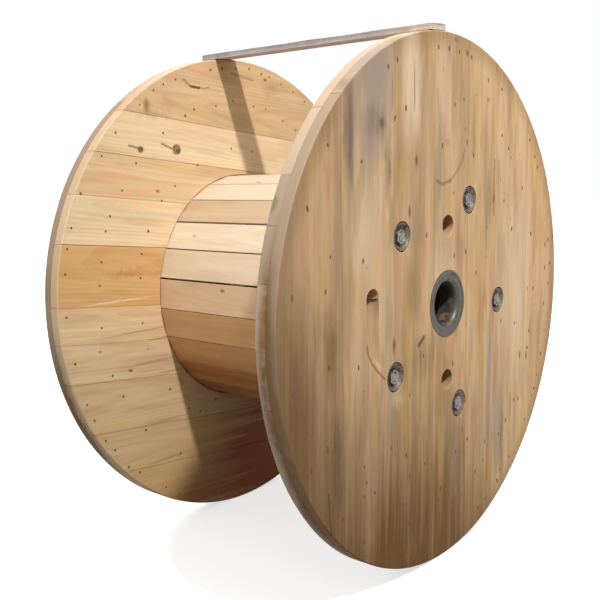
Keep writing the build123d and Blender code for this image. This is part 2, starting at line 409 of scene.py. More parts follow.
# %% [markdown]
# ## Marks in known places
#
# Some marks are part of this drum's history: grey rain streaks, a scar, the two knots on the far
# flange. Each is a soft ellipse with a real place and size, across and up from the axis. One
# small group measures how deep a point lies inside such an ellipse, and the finish mixes a colour
# by that amount. A crack is a chain of short strokes instead, and a second group measures how
# close a point lies to one of them.

# %% Mark and stroke groups
STROKE_EDGE = (1.0, 0.3)


def mark_group():
    """1 in the middle of an ellipse, 0 outside it, with a soft edge between."""
    inputs = {"Place": "Vector", "Centre": "Vector", "Reach": "Vector", "Edge": "Float"}
    tree, given, filled = new_group("mark", inputs, ["Depth"])
    away = vectors(tree, "SUBTRACT", given["Place"], given["Centre"])
    distance = vectors(tree, "LENGTH", vectors(tree, "DIVIDE", away, given["Reach"]))
    depth = ramp(tree, distance, 1.0, maths(tree, "SUBTRACT", 1.0, given["Edge"]))
    tree.links.new(depth, filled["Depth"])
    return tree


def stroke_group():
    """1 on a straight line between two points, 0 beyond its half width, with a soft edge."""
    inputs = {"Place": "Vector", "Start": "Vector", "Run": "Vector", "Half width": "Float"}
    tree, given, filled = new_group("stroke", inputs, ["Depth"])
    run = given["Run"]
    away = vectors(tree, "SUBTRACT", given["Place"], given["Start"])
    run_squared = vectors(tree, "DOT_PRODUCT", run, run)
    share = maths(tree, "DIVIDE", vectors(tree, "DOT_PRODUCT", away, run), run_squared)
    share = maths(tree, "MINIMUM", maths(tree, "MAXIMUM", share, 0.0), 1.0)
    distance = vectors(tree, "LENGTH", vectors(tree, "SUBTRACT", away, times(tree, run, share)))
    depth = ramp(tree, maths(tree, "DIVIDE", distance, given["Half width"]), *STROKE_EDGE)
    tree.links.new(depth, filled["Depth"])
    return tree


mark = mark_group()
stroke = stroke_group()
print("mark group:", len(mark.nodes), "nodes, stroke group:", len(stroke.nodes), "nodes")

# %% [markdown]
# ## Colours for the marks
#
# A weathered drum has few colours: grey and blue-grey rain stains, brown dirt, reddish sap and
# pale rubbed places. Two more paint shade: the deep shadow brown is painted shadow under the
# barrel, and the foot colour darkens the bottom of the drum as painted shade with some dirt.
# Naming them once keeps the lists below short, and a change here reaches every mark of that kind.

# %% Colours of marks
MARK_COLOURS = {
    "grey": (0.310, 0.235, 0.175, 1.0),
    "blue": (0.180, 0.120, 0.084, 1.0),
    "brown": (0.170, 0.090, 0.035, 1.0),
    "red": (0.330, 0.120, 0.045, 1.0),
    "pale": (0.700, 0.530, 0.370, 1.0),
    "dark": (0.055, 0.027, 0.012, 1.0),
    "olive": (0.230, 0.160, 0.060, 1.0),
    "pink": (0.640, 0.330, 0.190, 1.0),
    "green": (0.170, 0.165, 0.080, 1.0),
    "gold": (0.600, 0.380, 0.150, 1.0),
    # Painted shadow: the deep brown where the barrel and the front flange shade the wood.
    "umber": (0.205, 0.047, 0.004, 1.0),
    # Painted shade where the light falls off towards the ground, with some dirt.
    "foot": (0.128, 0.060, 0.010, 1.0),
}
print("mark colours:", len(MARK_COLOURS))

# %% [markdown]
# ## Marks on the front face
#
# The lists read like a surveyor's notes, in millimetres: across, up, half width, half height, how
# soft the edge is, how strong the mark, and what it is. A tape measure on the real drum would give
# the same kind of list. Where a mark must stay on one face or one edge, two more numbers give its
# place along the drum, and how far it reaches from there.

# %% Front marks
MM = 0.001
ANY_LEVEL = (0, 100000)
FRONT_MARKS = [
    (-250, 365, 82, 135, 0.5, 1.00, "grey"),
    (-313, 315, 24, 135, 0.9, 1.15, "blue"),
    (-204, 255, 13, 90, 0.9, 0.95, "blue"),
    (-240, 332, 50, 46, 0.95, 0.70, "blue"),
    (-240, 420, 60, 60, 0.8, 0.45, "blue"),
    (-232, 440, 75, 100, 0.6, 0.80, "grey"),
    (-270, 150, 56, 130, 0.9, 0.45, "pale"),
    (174, -200, 18, 200, 0.6, 0.90, "grey"),
    (222, -290, 34, 140, 0.7, 0.85, "grey"),
    (238, -320, 12, 110, 0.8, 0.60, "blue"),
    (-353, -230, 15, 125, 0.5, 1.15, "blue"),
    (-470, -120, 120, 290, 0.8, 0.85, "brown"),
    (-366, -380, 12, 70, 0.9, 0.70, "brown"),
    (-368, -32, 34, 105, 0.9, 0.75, "brown"),
    (-129, 38, 42, 84, 0.9, 0.60, "olive"),
    (-88, -92, 56, 66, 0.9, 0.55, "brown"),
    # The big foot mark darkens the bottom of the face: painted shade of the light's fall-off, with some
    # dirt.
    (-160, -620, 560, 600, 0.8, 1.30, "foot"),
    (-110, -390, 120, 110, 0.9, 0.35, "brown"),
    (-125, -445, 34, 34, 0.9, 0.38, "red"),
    (60, -430, 150, 90, 0.9, 0.40, "brown"),
    (-400, -250, 170, 230, 0.8, 0.65, "brown"),
    (40, -310, 60, 110, 0.9, 0.50, "brown"),
    (-128, 400, 46, 150, 0.9, 0.90, "pale"),
    (-20, 400, 40, 120, 0.9, 0.35, "pale"),
    (30, -300, 20, 130, 0.9, 0.45, "grey"),
    (95, 330, 14, 95, 0.9, 0.45, "olive"),
    (-10, 34, 96, 100, 0.8, 0.40, "pale"),
    (-175, -150, 30, 26, 0.9, 0.50, "pale"),
    (300, 20, 110, 330, 0.9, 0.50, "pale"),
    (-113, 262, 12, 30, 0.8, 0.55, "red"),
    (-113, 268, 6, 12, 0.6, 0.65, "dark"),
    (-222, 330, 17, 19, 0.9, 0.55, "blue"),
    (-222, 330, 8, 10, 0.6, 0.50, "dark"),
    (-3, 302, 16, 12, 0.8, 0.25, "olive"),
    (-136, 180, 5, 16, 0.7, 0.75, "dark"),
    (183, 193, 6, 14, 0.7, 0.65, "dark"),
    (-185, -52, 9, 24, 0.7, 0.70, "red"),
    (-185, -48, 5, 13, 0.7, 0.55, "dark"),
    (321, -155, 5, 13, 0.6, 0.70, "dark"),
    (352, -161, 5, 13, 0.6, 0.75, "dark"),
    (67, 468, 8, 10, 0.7, 0.60, "dark"),
    (154, 388, 8, 6, 0.7, 0.45, "brown"),
    (-120, 393, 2.5, 52, 0.5, 0.70, "brown"),
    (-190, 380, 3.0, 60, 0.8, 0.50, "brown"),
    # These two darken the lower left of the rim: painted shade, with some dirt.
    (-505, -60, 100, 290, 0.6, 1.15, "brown", 262, 27),
    (-360, -385, 300, 330, 0.7, 1.35, "foot", 262, 27),
]
print("marks on the front face:", len(FRONT_MARKS))

# %% [markdown]
# ## Marks on the far flange
#
# The far flange turns its cable side to us. It was never rained on, so it has warm patches, fine
# lines and two dark knots. Its lower part is tinted golden, and the deep brown under the barrel
# is painted shadow of the barrel and the front flange.

# %% Far flange marks
BACK_MARKS = [
    (-286, 302, 9, 8, 0.5, 0.90, "dark"),
    (-286, 302, 13, 11, 0.8, 0.60, "brown"),
    (-190, 303, 14, 13, 0.3, 0.85, "brown"),
    (-186, 300, 8, 6, 0.6, 0.75, "dark"),
    (-196, 308, 5, 4, 0.6, 0.60, "dark"),
    (-111, 463, 50, 28, 0.9, 0.50, "pink"),
    (-190, 455, 34, 14, 0.9, 0.60, "pink"),
    (-320, 380, 48, 30, 0.9, 0.40, "pink"),
    (28, 440, 46, 26, 0.9, 0.40, "pink"),
    (110, 440, 40, 24, 0.9, 0.35, "brown"),
    (-144, 376, 120, 28, 0.9, 0.50, "gold"),
    (77, 362, 80, 24, 0.9, 0.50, "gold"),
    (-150, -480, 420, 340, 0.9, 0.90, "gold"),
    # Painted shadow: the barrel and the front flange shade this part of the face.
    (130, -420, 400, 330, 0.95, 1.60, "umber"),
    (-180, -460, 210, 110, 0.9, 0.60, "umber"),
    (-266, 388, 12, 22, 0.9, 0.75, "brown"),
    (-250, 372, 70, 12, 0.9, 0.40, "brown"),
    (-330, 252, 90, 12, 0.9, 0.60, "pink"),
    (-280, 222, 150, 9, 0.9, 0.55, "pink"),
    (-370, 214, 60, 16, 0.9, 0.55, "pink"),
    (-330, 190, 130, 9, 0.9, 0.50, "pink"),
    (-360, 6, 120, 2.5, 0.6, 0.75, "pale"),
    (-300, -62, 120, 2.5, 0.7, 0.40, "brown"),
    (-250, -84, 60, 2.5, 0.7, 0.45, "brown"),
    (-270, -130, 110, 4, 0.8, 0.35, "brown"),
    (-230, -158, 70, 4, 0.8, 0.30, "brown"),
    (-250, -262, 90, 5, 0.8, 0.30, "brown"),
    (-230, -345, 100, 5, 0.8, 0.30, "brown"),
    (-330, 60, 90, 12, 0.9, 0.45, "red"),
    (-240, 50, 50, 9, 0.9, 0.40, "red"),
]
print("marks on the far flange:", len(BACK_MARKS))

# %% [markdown]
# ## Marks on the staves, the rims and the batten
#
# A bruise and a pink patch on the staves, deep brown under the barrel that is painted shadow, a
# darker lower left on the rims that is painted shade with some dirt, a green stain on the rim,
# and a pale patch on the batten's shaded underside, which is painted light. Most keep to one edge each.

# %% Other marks
STAVE_MARKS = [
    (-214, 128, 9, 7, 0.9, 0.55, "grey", -177, 9),
    (-214, 128, 4, 3, 0.7, 0.60, "blue", -177, 5),
    # Painted shadow on the staves under the barrel.
    (-190, -170, 80, 90, 0.9, 0.75, "umber"),
    (-140, -225, 110, 60, 0.9, 0.90, "umber"),
    (-186, 186, 26, 22, 0.9, 0.30, "pink", -160, 90),
]
RIM_MARKS = [
    (-457, 205, 14, 21, 0.7, 0.75, "green", 250, 12),
    # These two darken the lower left of the rim: painted shade, with some dirt.
    (-505, -60, 100, 290, 0.6, 1.15, "brown", 269, 24),
    (-360, -385, 300, 330, 0.7, 1.35, "foot", 269, 24),
]
FAR_RIM_MARKS = [
    # A darker lower left on the far rim: painted shade, with some dirt.
    (-455, -250, 160, 260, 0.8, 1.00, "foot", -270, 26),
]
BATTEN_PAINTED_LIGHT_MARKS = [
    # Painted light: a pale patch on the batten's shaded underside near the front end.
    (-40, 508, 200, 60, 0.9, 0.85, "pale", 310, 200),
]
print("other marks:", len(STAVE_MARKS + RIM_MARKS + FAR_RIM_MARKS + BATTEN_PAINTED_LIGHT_MARKS))

# %% [markdown]
# ## Cracks and scars
#
# A crack is a bent line, so an ellipse can't draw it. Each entry gives the colour, the half width,
# the strength and the points that the crack passes, like a pencil line in a sketch book.

# %% Cracks
FRONT_STROKES = [
    ("red", 3.4, 0.85, [(-268, -38), (-263, -56), (-252, -72), (-236, -88), (-222, -98), (-212, -106)]),
    ("brown", 5.0, 0.60, [(-42, 231), (-24, 226), (-10, 228), (6, 232)]),
    ("brown", 4.5, 0.45, [(6, 232), (24, 243), (40, 256), (52, 272), (62, 292)]),
    ("brown", 4.0, 0.55, [(185, 160), (184, 215), (186, 270)]),
    ("dark", 6.0, 0.75, [(-103, -64), (-86, -52)]),
    ("brown", 4.0, 0.45, [(-98, -76), (-96, -96)]),
    ("dark", 3.2, 0.65, [(-377, -262), (-375, -300), (-372, -335)]),
]
BACK_STROKES = [
    ("brown", 4.2, 0.60, [(-163, 446), (-152, 438), (-142, 434), (-120, 432.5)]),
    ("brown", 3.0, 0.45, [(-120, 432.5), (-104, 432), (-90, 435)]),
    ("dark", 4.0, 0.80, [(-144, 434.5), (-120, 432.5)]),
    ("brown", 3.5, 0.50, [(-21, 470), (14, 466), (48, 460)]),
    ("brown", 3.5, 0.75, [(-316, 309), (-298, 305), (-290, 303)]),
    ("brown", 3.5, 0.80, [(-230, 313), (-212, 308), (-202, 304)]),
]
print("cracks:", len(FRONT_STROKES), "on the front face,", len(BACK_STROKES), "on the far flange")

# %% [markdown]
# ## Mixing the marks in
#
# A stain soaks along the fibres and has a ragged outline, while a knot or a dent is crisp. So each
# mark is looked up at a place that noise has shaken, much for a stain and little for a small mark,
# and a stain is also thinned by the wood's own streaks.

# %% Put marks and cracks on a finish
SMALL_MARK = 26
THIN_MARK = 6
STAIN_STRETCH = (25.0, 60.0, 22.0)
STAIN_SHAKE = (0.0, 0.026, 0.050)
SMALL_SHAKE = (0.0, 0.004, 0.005)
STREAKY_STAIN = (0.25, 0.65, 0.45, 1.0)
CRACK_STRETCH = (20.0, 90.0, 90.0)
CRACK_SHAKE = (0.0, 0.006, 0.006)
ACROSS_THE_DRUM = (0.0, 1.0, 1.0)


def is_small(half_width, half_height):
    """True for a knot, a dent or a thin line, which keep a crisp outline."""
    return max(half_width, half_height) < SMALL_MARK or min(half_width, half_height) < THIN_MARK


def add_marks(tree, place, grain_out, colour, marks):
    """Mixes every mark into a colour. Stains are streaky and ragged, and small marks are crisp."""
    shake = wobble(tree, place, STAIN_STRETCH, 3.0, 0.7)
    ragged = vectors(tree, "ADD", place, vectors(tree, "MULTIPLY", shake, STAIN_SHAKE))
    crisp = vectors(tree, "ADD", place, vectors(tree, "MULTIPLY", shake, SMALL_SHAKE))
    streaky = ramp(tree, grain_out["Streaks"], *STREAKY_STAIN)
    for across, up, half_width, half_height, edge, strength, kind, *level in marks:
        along, reach_along = level or ANY_LEVEL
        small = is_small(half_width, half_height)
        inputs = {
            "Place": crisp if small else ragged,
            "Centre": (along * MM, across * MM, up * MM),
            "Reach": (reach_along * MM, half_width * MM, half_height * MM),
            "Edge": edge,
        }
        spot = node(tree, "Group", inputs, node_tree=mark)
        depth = maths(tree, "MULTIPLY", spot.outputs["Depth"], strength)
        if not small:
            depth = maths(tree, "MULTIPLY", depth, streaky)
        colour = blend(tree, depth, colour, MARK_COLOURS[kind])
    return colour


def add_strokes(tree, place, colour, strokes):
    """Mixes in each crack: a chain of straight strokes, made a little uneven."""
    shake = vectors(tree, "MULTIPLY", wobble(tree, place, CRACK_STRETCH, 2.0, 0.6), CRACK_SHAKE)
    uneven = vectors(tree, "MULTIPLY", vectors(tree, "ADD", place, shake), ACROSS_THE_DRUM)
    for kind, half_width, strength, points in strokes:
        depth = 0.0
        for (across, up), (next_across, next_up) in zip(points, points[1:]):
            inputs = {
                "Place": uneven,
                "Start": (0.0, across * MM, up * MM),
                "Run": (0.0, (next_across - across) * MM, (next_up - up) * MM),
                "Half width": half_width * MM,
            }
            line = node(tree, "Group", inputs, node_tree=stroke)
            depth = maths(tree, "MAXIMUM", depth, line.outputs["Depth"])
        colour = blend(tree, maths(tree, "MULTIPLY", depth, strength), colour, MARK_COLOURS[kind])
    return colour


small_marks = sum(is_small(row[2], row[3]) for row in FRONT_MARKS)
print("crisp marks on the front face:", small_marks, "of", len(FRONT_MARKS))

# %% [markdown]
# ## Clean wood
#
# Under all weather lies the wood itself: pale early wood, darker late wood, fine fibres and broad
# streaks. One colour is mixed into another by the amounts that the grain group gives, which is
# simpler than a picture of wood and never repeats.

# %% Clean wood
BROAD_STREAKS = (0.32, 0.70)
HALO_STRENGTH = 0.75
KNOT_WOOD = (0.150, 0.060, 0.022, 1.0)
KNOT_HALO = (0.400, 0.190, 0.075, 1.0)


def wood_colour(tree, grain_out, recipe):
    """The clean wood: pale early wood, darker late wood, broad streaks and knots."""
    streaks = ramp(tree, grain_out["Streaks"], *BROAD_STREAKS)
    late = maths(tree, "MULTIPLY", grain_out["Rings"], recipe["rings"])
    broad = maths(tree, "MULTIPLY", streaks, recipe["streaks"])
    fibres = maths(tree, "MULTIPLY", grain_out["Fibres"], recipe["fibres"])
    amount = maths(tree, "ADD", maths(tree, "ADD", late, broad), fibres)
    colour = blend(tree, amount, recipe["pale"], recipe["deep"])
    halo = maths(tree, "MULTIPLY", grain_out["Knot halo"], HALO_STRENGTH)
    return blend(tree, grain_out["Knot"], blend(tree, halo, colour, KNOT_HALO), KNOT_WOOD)


print("knot wood", KNOT_WOOD[:3], "in a halo of", KNOT_HALO[:3])

# %% [markdown]
# ## Blotches and specks
#
# No board is one colour. Cloudy patches, drawn out along the plank, tint it grey, pink or golden,
# and small dark pits and bruises are strewn over it. Both are read at the place in the log, so
# they follow the plank and differ from one plank to the next.

# %% Blotches and specks
BLOTCH_STRETCH = (4.5, 26.0, 26.0)
BLOTCH_EDGE = (0.47, 0.68)
BLOTCH_TINTS = ((0.66, 0.63, 0.62, 1.0), (0.96, 0.84, 0.84, 1.0), (0.92, 0.85, 0.60, 1.0))
SPECK_CELLS = (15.0, 23.0, 0.0)
SPECK_SHAPE = (0.5 / SPECK_CELLS[0], 1 / SPECK_CELLS[1], 0.0)
SPECK_SIZE = 0.0030
SPECK_EDGE = 0.0010
SPECK_STRENGTH = 0.80
SPECK_COLOUR = (0.110, 0.052, 0.020, 1.0)


def add_blotches(tree, colour, strength):
    """Cloudy patches drawn out along the plank: grey, pink and golden."""
    clouds = noise(tree, attribute(tree, "grain"), BLOTCH_STRETCH, 3.0, 0.6).outputs["Color"]
    for part, tint in zip(node(tree, "SeparateColor", {0: clouds}).outputs, BLOTCH_TINTS):
        depth = maths(tree, "MULTIPLY", ramp(tree, part, *BLOTCH_EDGE), strength)
        colour = blend(tree, depth, colour, tint, "MULTIPLY")
    return colour


def add_specks(tree, colour, share):
    """Small dark pits and bruises: share says how many cells of the pattern have one."""
    away, chances = strewn(tree, attribute(tree, "grain"), SPECK_CELLS, SPECK_SHAPE, 1.0)
    size = ramp(tree, chances["Green"], 1.0 - share, 1.0, -SPECK_EDGE, SPECK_SIZE)
    distance = maths(tree, "SUBTRACT", vectors(tree, "LENGTH", away), size)
    depth = ramp(tree, distance, SPECK_EDGE, -SPECK_EDGE, 0.0, SPECK_STRENGTH)
    return blend(tree, depth, colour, SPECK_COLOUR)


print("specks: one cell is", round(100 / SPECK_CELLS[0], 1), "by", round(100 / SPECK_CELLS[1], 1), "cm")

# %% [markdown]
# ## The rim, the holes and the joints
#
# Wear and dirt show where planks end. The rim's edge is rubbed, its sawn side shows end grain,
# the wood deep in the holes and pockets is darker, and a thin dark line runs along every joint.
# How far a point is from the axis, and from the edge of its own plank, tells all of these apart.

# %% Rim and joints
CLEAN_BAND = (0.006, 0.004)
DIRT_DEPTHS = (0.0014, 0.0050)
WORN_END = 0.002
ARRIS = 0.0022
SAWN_STRENGTH = 0.80
SEAM_WIDTHS = (0.0020, 0.0004)


def age_rim(tree, place, colour, recipe):
    """Darker wood deep in the holes, a worn band along the rim, and the sawn side of the rim itself."""
    radius = vectors(tree, "LENGTH", vectors(tree, "MULTIPLY", place, ACROSS_THE_DRUM))
    level = maths(tree, "ABSOLUTE", node(tree, "SeparateXYZ", {0: place}).outputs["X"])
    band_start, band_end = (RIM_RADIUS - width for width in CLEAN_BAND)
    inside = ramp(tree, radius, band_start, band_end, recipe["hole_darkening"], 0.0)
    deep = ramp(tree, level, *(OUTER_FACE - depth for depth in DIRT_DEPTHS))
    colour = blend(tree, maths(tree, "MULTIPLY", deep, inside), colour, MARK_COLOURS["brown"])
    worn_start = RIM_RADIUS - recipe["worn_width"]
    worn = ramp(tree, radius, worn_start, RIM_RADIUS - WORN_END, 0.0, recipe["worn"])
    colour = blend(tree, worn, colour, recipe["worn_colour"])
    sawn = ramp(tree, radius, RIM_RADIUS - ARRIS, RIM_RADIUS - ARRIS / 3, 0.0, SAWN_STRENGTH)
    return blend(tree, sawn, colour, recipe["sawn"])


def darken_joints(tree, colour, strength):
    """A thin dark line along the plank's two long edges."""
    offset, half, _ = node(tree, "SeparateXYZ", {0: attribute(tree, "board")}).outputs
    to_edge = maths(tree, "SUBTRACT", half, maths(tree, "ABSOLUTE", offset))
    seam = ramp(tree, to_edge, *SEAM_WIDTHS, 0.0, strength)
    return blend(tree, seam, colour, MARK_COLOURS["brown"])


print("the sawn side starts", round(ARRIS * 1000, 1), "mm from the rim")

# %% [markdown]
# ## One wood finish, five recipes
#
# All the timber is the same softwood, but it has lived differently: the outer faces are weathered,
# the faces towards the cable stayed clean and warm, the staves are the palest, the batten is grey
# and rough, and the front flange's inner layer has a greyer sawn rim. So one function builds the
# finish in the order in which a real board gets its colour, and a recipe gives the amounts.
#
# Two more attributes steer it for each plank. The first, board, holds how far a point is from the
# middle of its plank and how wide the plank is, which puts dirt along the joints. The other,
# look, holds the plank's own tone, warmth and weather, because no two planks match.

# %% Wood finish
AGED = (0.250, 0.185, 0.120, 1.0)
FILM_EDGE = (0.40, 0.72)
WARMTH_STRENGTH = 0.8
TONE_VALUES = (0.66, 1.34)
WOOD_GLOSS = 0.25
SMOOTHER = 0.08
ROUGHER = 0.10
RELIEF_SHARES = {"Fibres": 0.6, "Rings": -0.25, "Streaks": 0.8}
BUMP_STRENGTH = 0.5


def wood_surface(tree, shader, grain_out, recipe):
    """Roughness that follows the fibres, and a fine relief from the whole grain."""
    rough = recipe["rough"]
    roughness = ramp(tree, grain_out["Fibres"], 0.2, 0.8, rough - SMOOTHER, rough + ROUGHER)
    tree.links.new(roughness, shader.inputs["Roughness"])
    shader.inputs["Specular IOR Level"].default_value = WOOD_GLOSS
    relief = 0.0
    for part, share in RELIEF_SHARES.items():
        relief = maths(tree, "ADD", relief, maths(tree, "MULTIPLY", grain_out[part], share))
    inputs = {"Height": relief, "Strength": BUMP_STRENGTH, "Distance": recipe["relief"]}
    tree.links.new(node(tree, "Bump", inputs).outputs["Normal"], shader.inputs["Normal"])


def wood_material(name, recipe, marks=(), strokes=(), rim=True):
    """A softwood finish from a recipe of colours, with marks in known places."""
    made, tree, shader = new_material(name)
    grain_out = node(tree, "Group", {"Knots": recipe["knots"]}, node_tree=grain).outputs
    tone, warmth, weather = node(tree, "SeparateXYZ", {0: attribute(tree, "look")}).outputs
    place = vectors(tree, "SUBTRACT", node(tree, "TexCoord").outputs["Object"], tuple(AXIS))

    colour = wood_colour(tree, grain_out, recipe)
    warm = maths(tree, "MULTIPLY", warmth, WARMTH_STRENGTH)
    colour = blend(tree, warm, colour, recipe["warm"], "MULTIPLY")
    colour = add_blotches(tree, colour, recipe["blotches"])
    colour = add_specks(tree, colour, recipe["specks"])
    clouds = noise(tree, place, recipe["cloud_stretch"], 4.0, 0.6).outputs["Fac"]
    film = maths(tree, "MULTIPLY", ramp(tree, clouds, *FILM_EDGE), weather)
    colour = blend(tree, maths(tree, "MULTIPLY", film, recipe["weather"]), colour, AGED)
    if rim:
        colour = age_rim(tree, place, colour, recipe)
    colour = add_marks(tree, place, grain_out, colour, marks)
    colour = add_strokes(tree, place, colour, strokes)
    colour = darken_joints(tree, colour, recipe["seam"])
    value = ramp(tree, tone, -1.0, 1.0, *TONE_VALUES)
    toned = node(tree, "HueSaturation", {"Value": value, "Color": colour}).outputs[0]
    tree.links.new(toned, shader.inputs["Base Color"])
    wood_surface(tree, shader, grain_out, recipe)
    return made


print("a plank's tone runs from", TONE_VALUES[0], "to", TONE_VALUES[1], "of the recipe's colour")

# %% [markdown]
# ## The recipes
#
# The colours are linear values, as Blender stores them. They were judged where the lamp falls
# full on the wood, so that most shade and shadow are left to the light. Some marks and looks
# paint shade in all the same: the deep shadow brown and foot marks, the staves under the barrel,
# the lowest planks of the far flange and the batten's top. The batten's paler underside is painted light.

# %% Wood recipes
CLEAN = {
    "pale": (0.690, 0.550, 0.355, 1.0),
    "deep": (0.500, 0.310, 0.155, 1.0),
    "warm": (0.860, 0.660, 0.430, 1.0),
    "rings": 0.20, "streaks": 0.32, "fibres": 0.20, "knots": 0.10, "blotches": 0.35, "specks": 0.12,
    "weather": 0.25, "cloud_stretch": (3.0, 2.0, 12.0), "seam": 0.12,
    "worn": 0.22, "worn_width": 0.008, "worn_colour": (0.420, 0.340, 0.240, 1.0),
    "sawn": (0.460, 0.320, 0.195, 1.0), "hole_darkening": 0.0,
    "rough": 0.62, "relief": 0.0006,
}
WEATHERED = dict(
    CLEAN,
    pale=(0.640, 0.450, 0.265, 1.0),
    deep=(0.380, 0.225, 0.100, 1.0),
    rings=0.10, streaks=0.30, fibres=0.16, blotches=0.75, specks=0.45,
    knots=0.16, weather=0.75, cloud_stretch=(3.0, 22.0, 2.2),
    seam=0.16, worn=0.40, worn_width=0.045, worn_colour=MARK_COLOURS["brown"],
    sawn=(0.325, 0.240, 0.165, 1.0), hole_darkening=0.35, rough=0.72, relief=0.0009,
)
STAVE = dict(
    CLEAN,
    pale=(0.505, 0.425, 0.315, 1.0),
    deep=(0.410, 0.295, 0.175, 1.0),
    warm=(0.900, 0.600, 0.340, 1.0),
    rings=0.12, streaks=0.26, blotches=0.25, specks=0.05, knots=0.12,
    cloud_stretch=(2.0, 12.0, 12.0), seam=0.30,
)
GREY_BATTEN = dict(
    WEATHERED,
    pale=(0.535, 0.495, 0.485, 1.0),
    deep=(0.360, 0.310, 0.310, 1.0),
    blotches=0.2, knots=0.05, cloud_stretch=(6.0, 20.0, 20.0), seam=0.2, rough=0.85, relief=0.0014,
)
FRONT_INNER = dict(CLEAN, sawn=(0.325, 0.245, 0.175, 1.0))
front_wood = wood_material("front_wood", WEATHERED, FRONT_MARKS, FRONT_STROKES)
back_wood = wood_material("back_wood", WEATHERED, FAR_RIM_MARKS)
cable_side_wood = wood_material("cable_side_wood", CLEAN, BACK_MARKS + FAR_RIM_MARKS, BACK_STROKES)
plain_inner_wood = wood_material("plain_inner_wood", FRONT_INNER, RIM_MARKS)
stave_wood = wood_material("stave_wood", STAVE, STAVE_MARKS, rim=False)
batten_wood = wood_material("batten_wood", GREY_BATTEN, BATTEN_PAINTED_LIGHT_MARKS, rim=False)
print("wood finishes:", [m.name for m in bpy.data.materials if m.name.endswith("wood")])

# %% [markdown]
# ## The three kinds of metal
#
# The nuts and washers are galvanised and gone dull, the bushing is dark cast steel, and the nails
# are rusty. Rust is noise that swaps the bare metal for a rough brown that isn't metallic at all.

# %% Metal finishes
RUST = (0.130, 0.070, 0.040, 1.0)
NAIL_RUST = (0.150, 0.075, 0.034, 1.0)
RUST_EDGE = (0.75, 0.90)
RUST_SPREAD = 0.6
DULLED = 0.6
RUST_METALLIC = 0.1
RUST_ROUGH = 0.85
METAL_BUMP_STRENGTH = 0.4
METAL_BUMP_HEIGHT = 0.0004


def metal_material(name, bare, rusty, rough, scale, rust=RUST, metallic=0.9):
    """Bare metal with rust in patches: rusty says how much of it is covered."""
    made, tree, shader = new_material(name)
    place = node(tree, "TexCoord").outputs["Object"]
    patches = noise(tree, place, (scale, scale, scale), 4.0, 0.65).outputs["Fac"]
    cover = ramp(tree, patches, *(edge - rusty * RUST_SPREAD for edge in RUST_EDGE))
    fine = scale * 3
    grey = noise(tree, place, (fine, fine, fine), 2.0).outputs["Fac"]
    dull = tuple(part * DULLED for part in bare[:3]) + (1.0,)
    colour = blend(tree, grey, dull, bare)
    tree.links.new(blend(tree, cover, colour, rust), shader.inputs["Base Color"])
    tree.links.new(ramp(tree, cover, 0.0, 1.0, metallic, RUST_METALLIC), shader.inputs["Metallic"])
    tree.links.new(ramp(tree, cover, 0.0, 1.0, rough, RUST_ROUGH), shader.inputs["Roughness"])
    inputs = {"Height": patches, "Strength": METAL_BUMP_STRENGTH, "Distance": METAL_BUMP_HEIGHT}
    tree.links.new(node(tree, "Bump", inputs).outputs["Normal"], shader.inputs["Normal"])
    return made


fastener_steel = metal_material("fastener_steel", (0.31, 0.295, 0.275, 1.0), 0.42, 0.38, 160.0)
washer_steel = metal_material("washer_steel", (0.20, 0.175, 0.145, 1.0), 0.48, 0.50, 120.0)
bushing_steel = metal_material("bushing_steel", (0.105, 0.098, 0.080, 1.0), 0.42, 0.44, 60.0, metallic=0.60)
nail_steel = metal_material("nail_steel", (0.20, 0.14, 0.10, 1.0), 0.80, 0.60, 300.0, rust=NAIL_RUST)
print("metal finishes:", [m.name for m in bpy.data.materials if m.name.endswith("steel")])

# %% [markdown]
# ## From a solid to a plank
#
# The construction's solids are exact but too crisp: every arris is a knife edge, and the flat
# faces are cut into long thin triangles. So each plank starts as a copy of its solid. Doubled
# vertices are welded, and the triangles of each flat face are joined up again. The long sides
# move out by a third of a millimetre, so that the joints close up as they do on the real drum.
# Last, the sharp edges are eased with a small bevel, as sandpaper and years of handling would,
# and the edge of the rim gets a wider round.

# %% Plank shape
WELD = 0.00001
ON_FACE = 0.0001
ARC_SAG = 0.0008
JOINT_CLOSING = 0.00035
FLAT_ANGLE = radians(0.4)
SHARP_ANGLE = radians(40)
EASE = 0.0005
RIM_EASE = 0.0030
RIM_SEGMENTS = 4


def shape_of(name):
    """A copy of a solid, welded, with its flat faces whole."""
    shape = bmesh.new()
    shape.from_mesh(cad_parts[name].data)
    bmesh.ops.remove_doubles(shape, verts=shape.verts, dist=WELD)
    bmesh.ops.dissolve_limit(shape, angle_limit=FLAT_ANGLE, verts=shape.verts[:], edges=shape.edges[:])
    return shape


def bevel(shape, edges, width, segments):
    """Rounds some edges, as far as the faces beside them leave room."""
    bmesh.ops.bevel(
        shape, geom=edges, offset=width, segments=segments, profile=0.5, affect="EDGES", clamp_overlap=True
    )


def ease_edges(shape, width, segments=2):
    """A small bevel on every sharp edge."""
    sharp = [e for e in shape.edges if len(e.link_faces) == 2 and e.calc_face_angle(0) > SHARP_ANGLE]
    bevel(shape, sharp, width, segments)


def off_axis(point):
    """How far a point is from the drum's axis."""
    return (Vector((0, point.y, point.z)) - AXIS).length


def ease_rim(shape, x):
    """A wider round on the rim's edge in the face at x, which takes the knocks."""
    edges = []
    for edge in shape.edges:
        start, end = (vertex.co for vertex in edge.verts)
        on_face = all(abs(point.x - x) < ON_FACE for point in (start, end))
        on_rim = all(off_axis(point) > RIM_RADIUS - ARC_SAG for point in (start, (start + end) / 2, end))
        if on_face and on_rim:
            edges.append(edge)
    bevel(shape, edges, RIM_EASE, RIM_SEGMENTS)


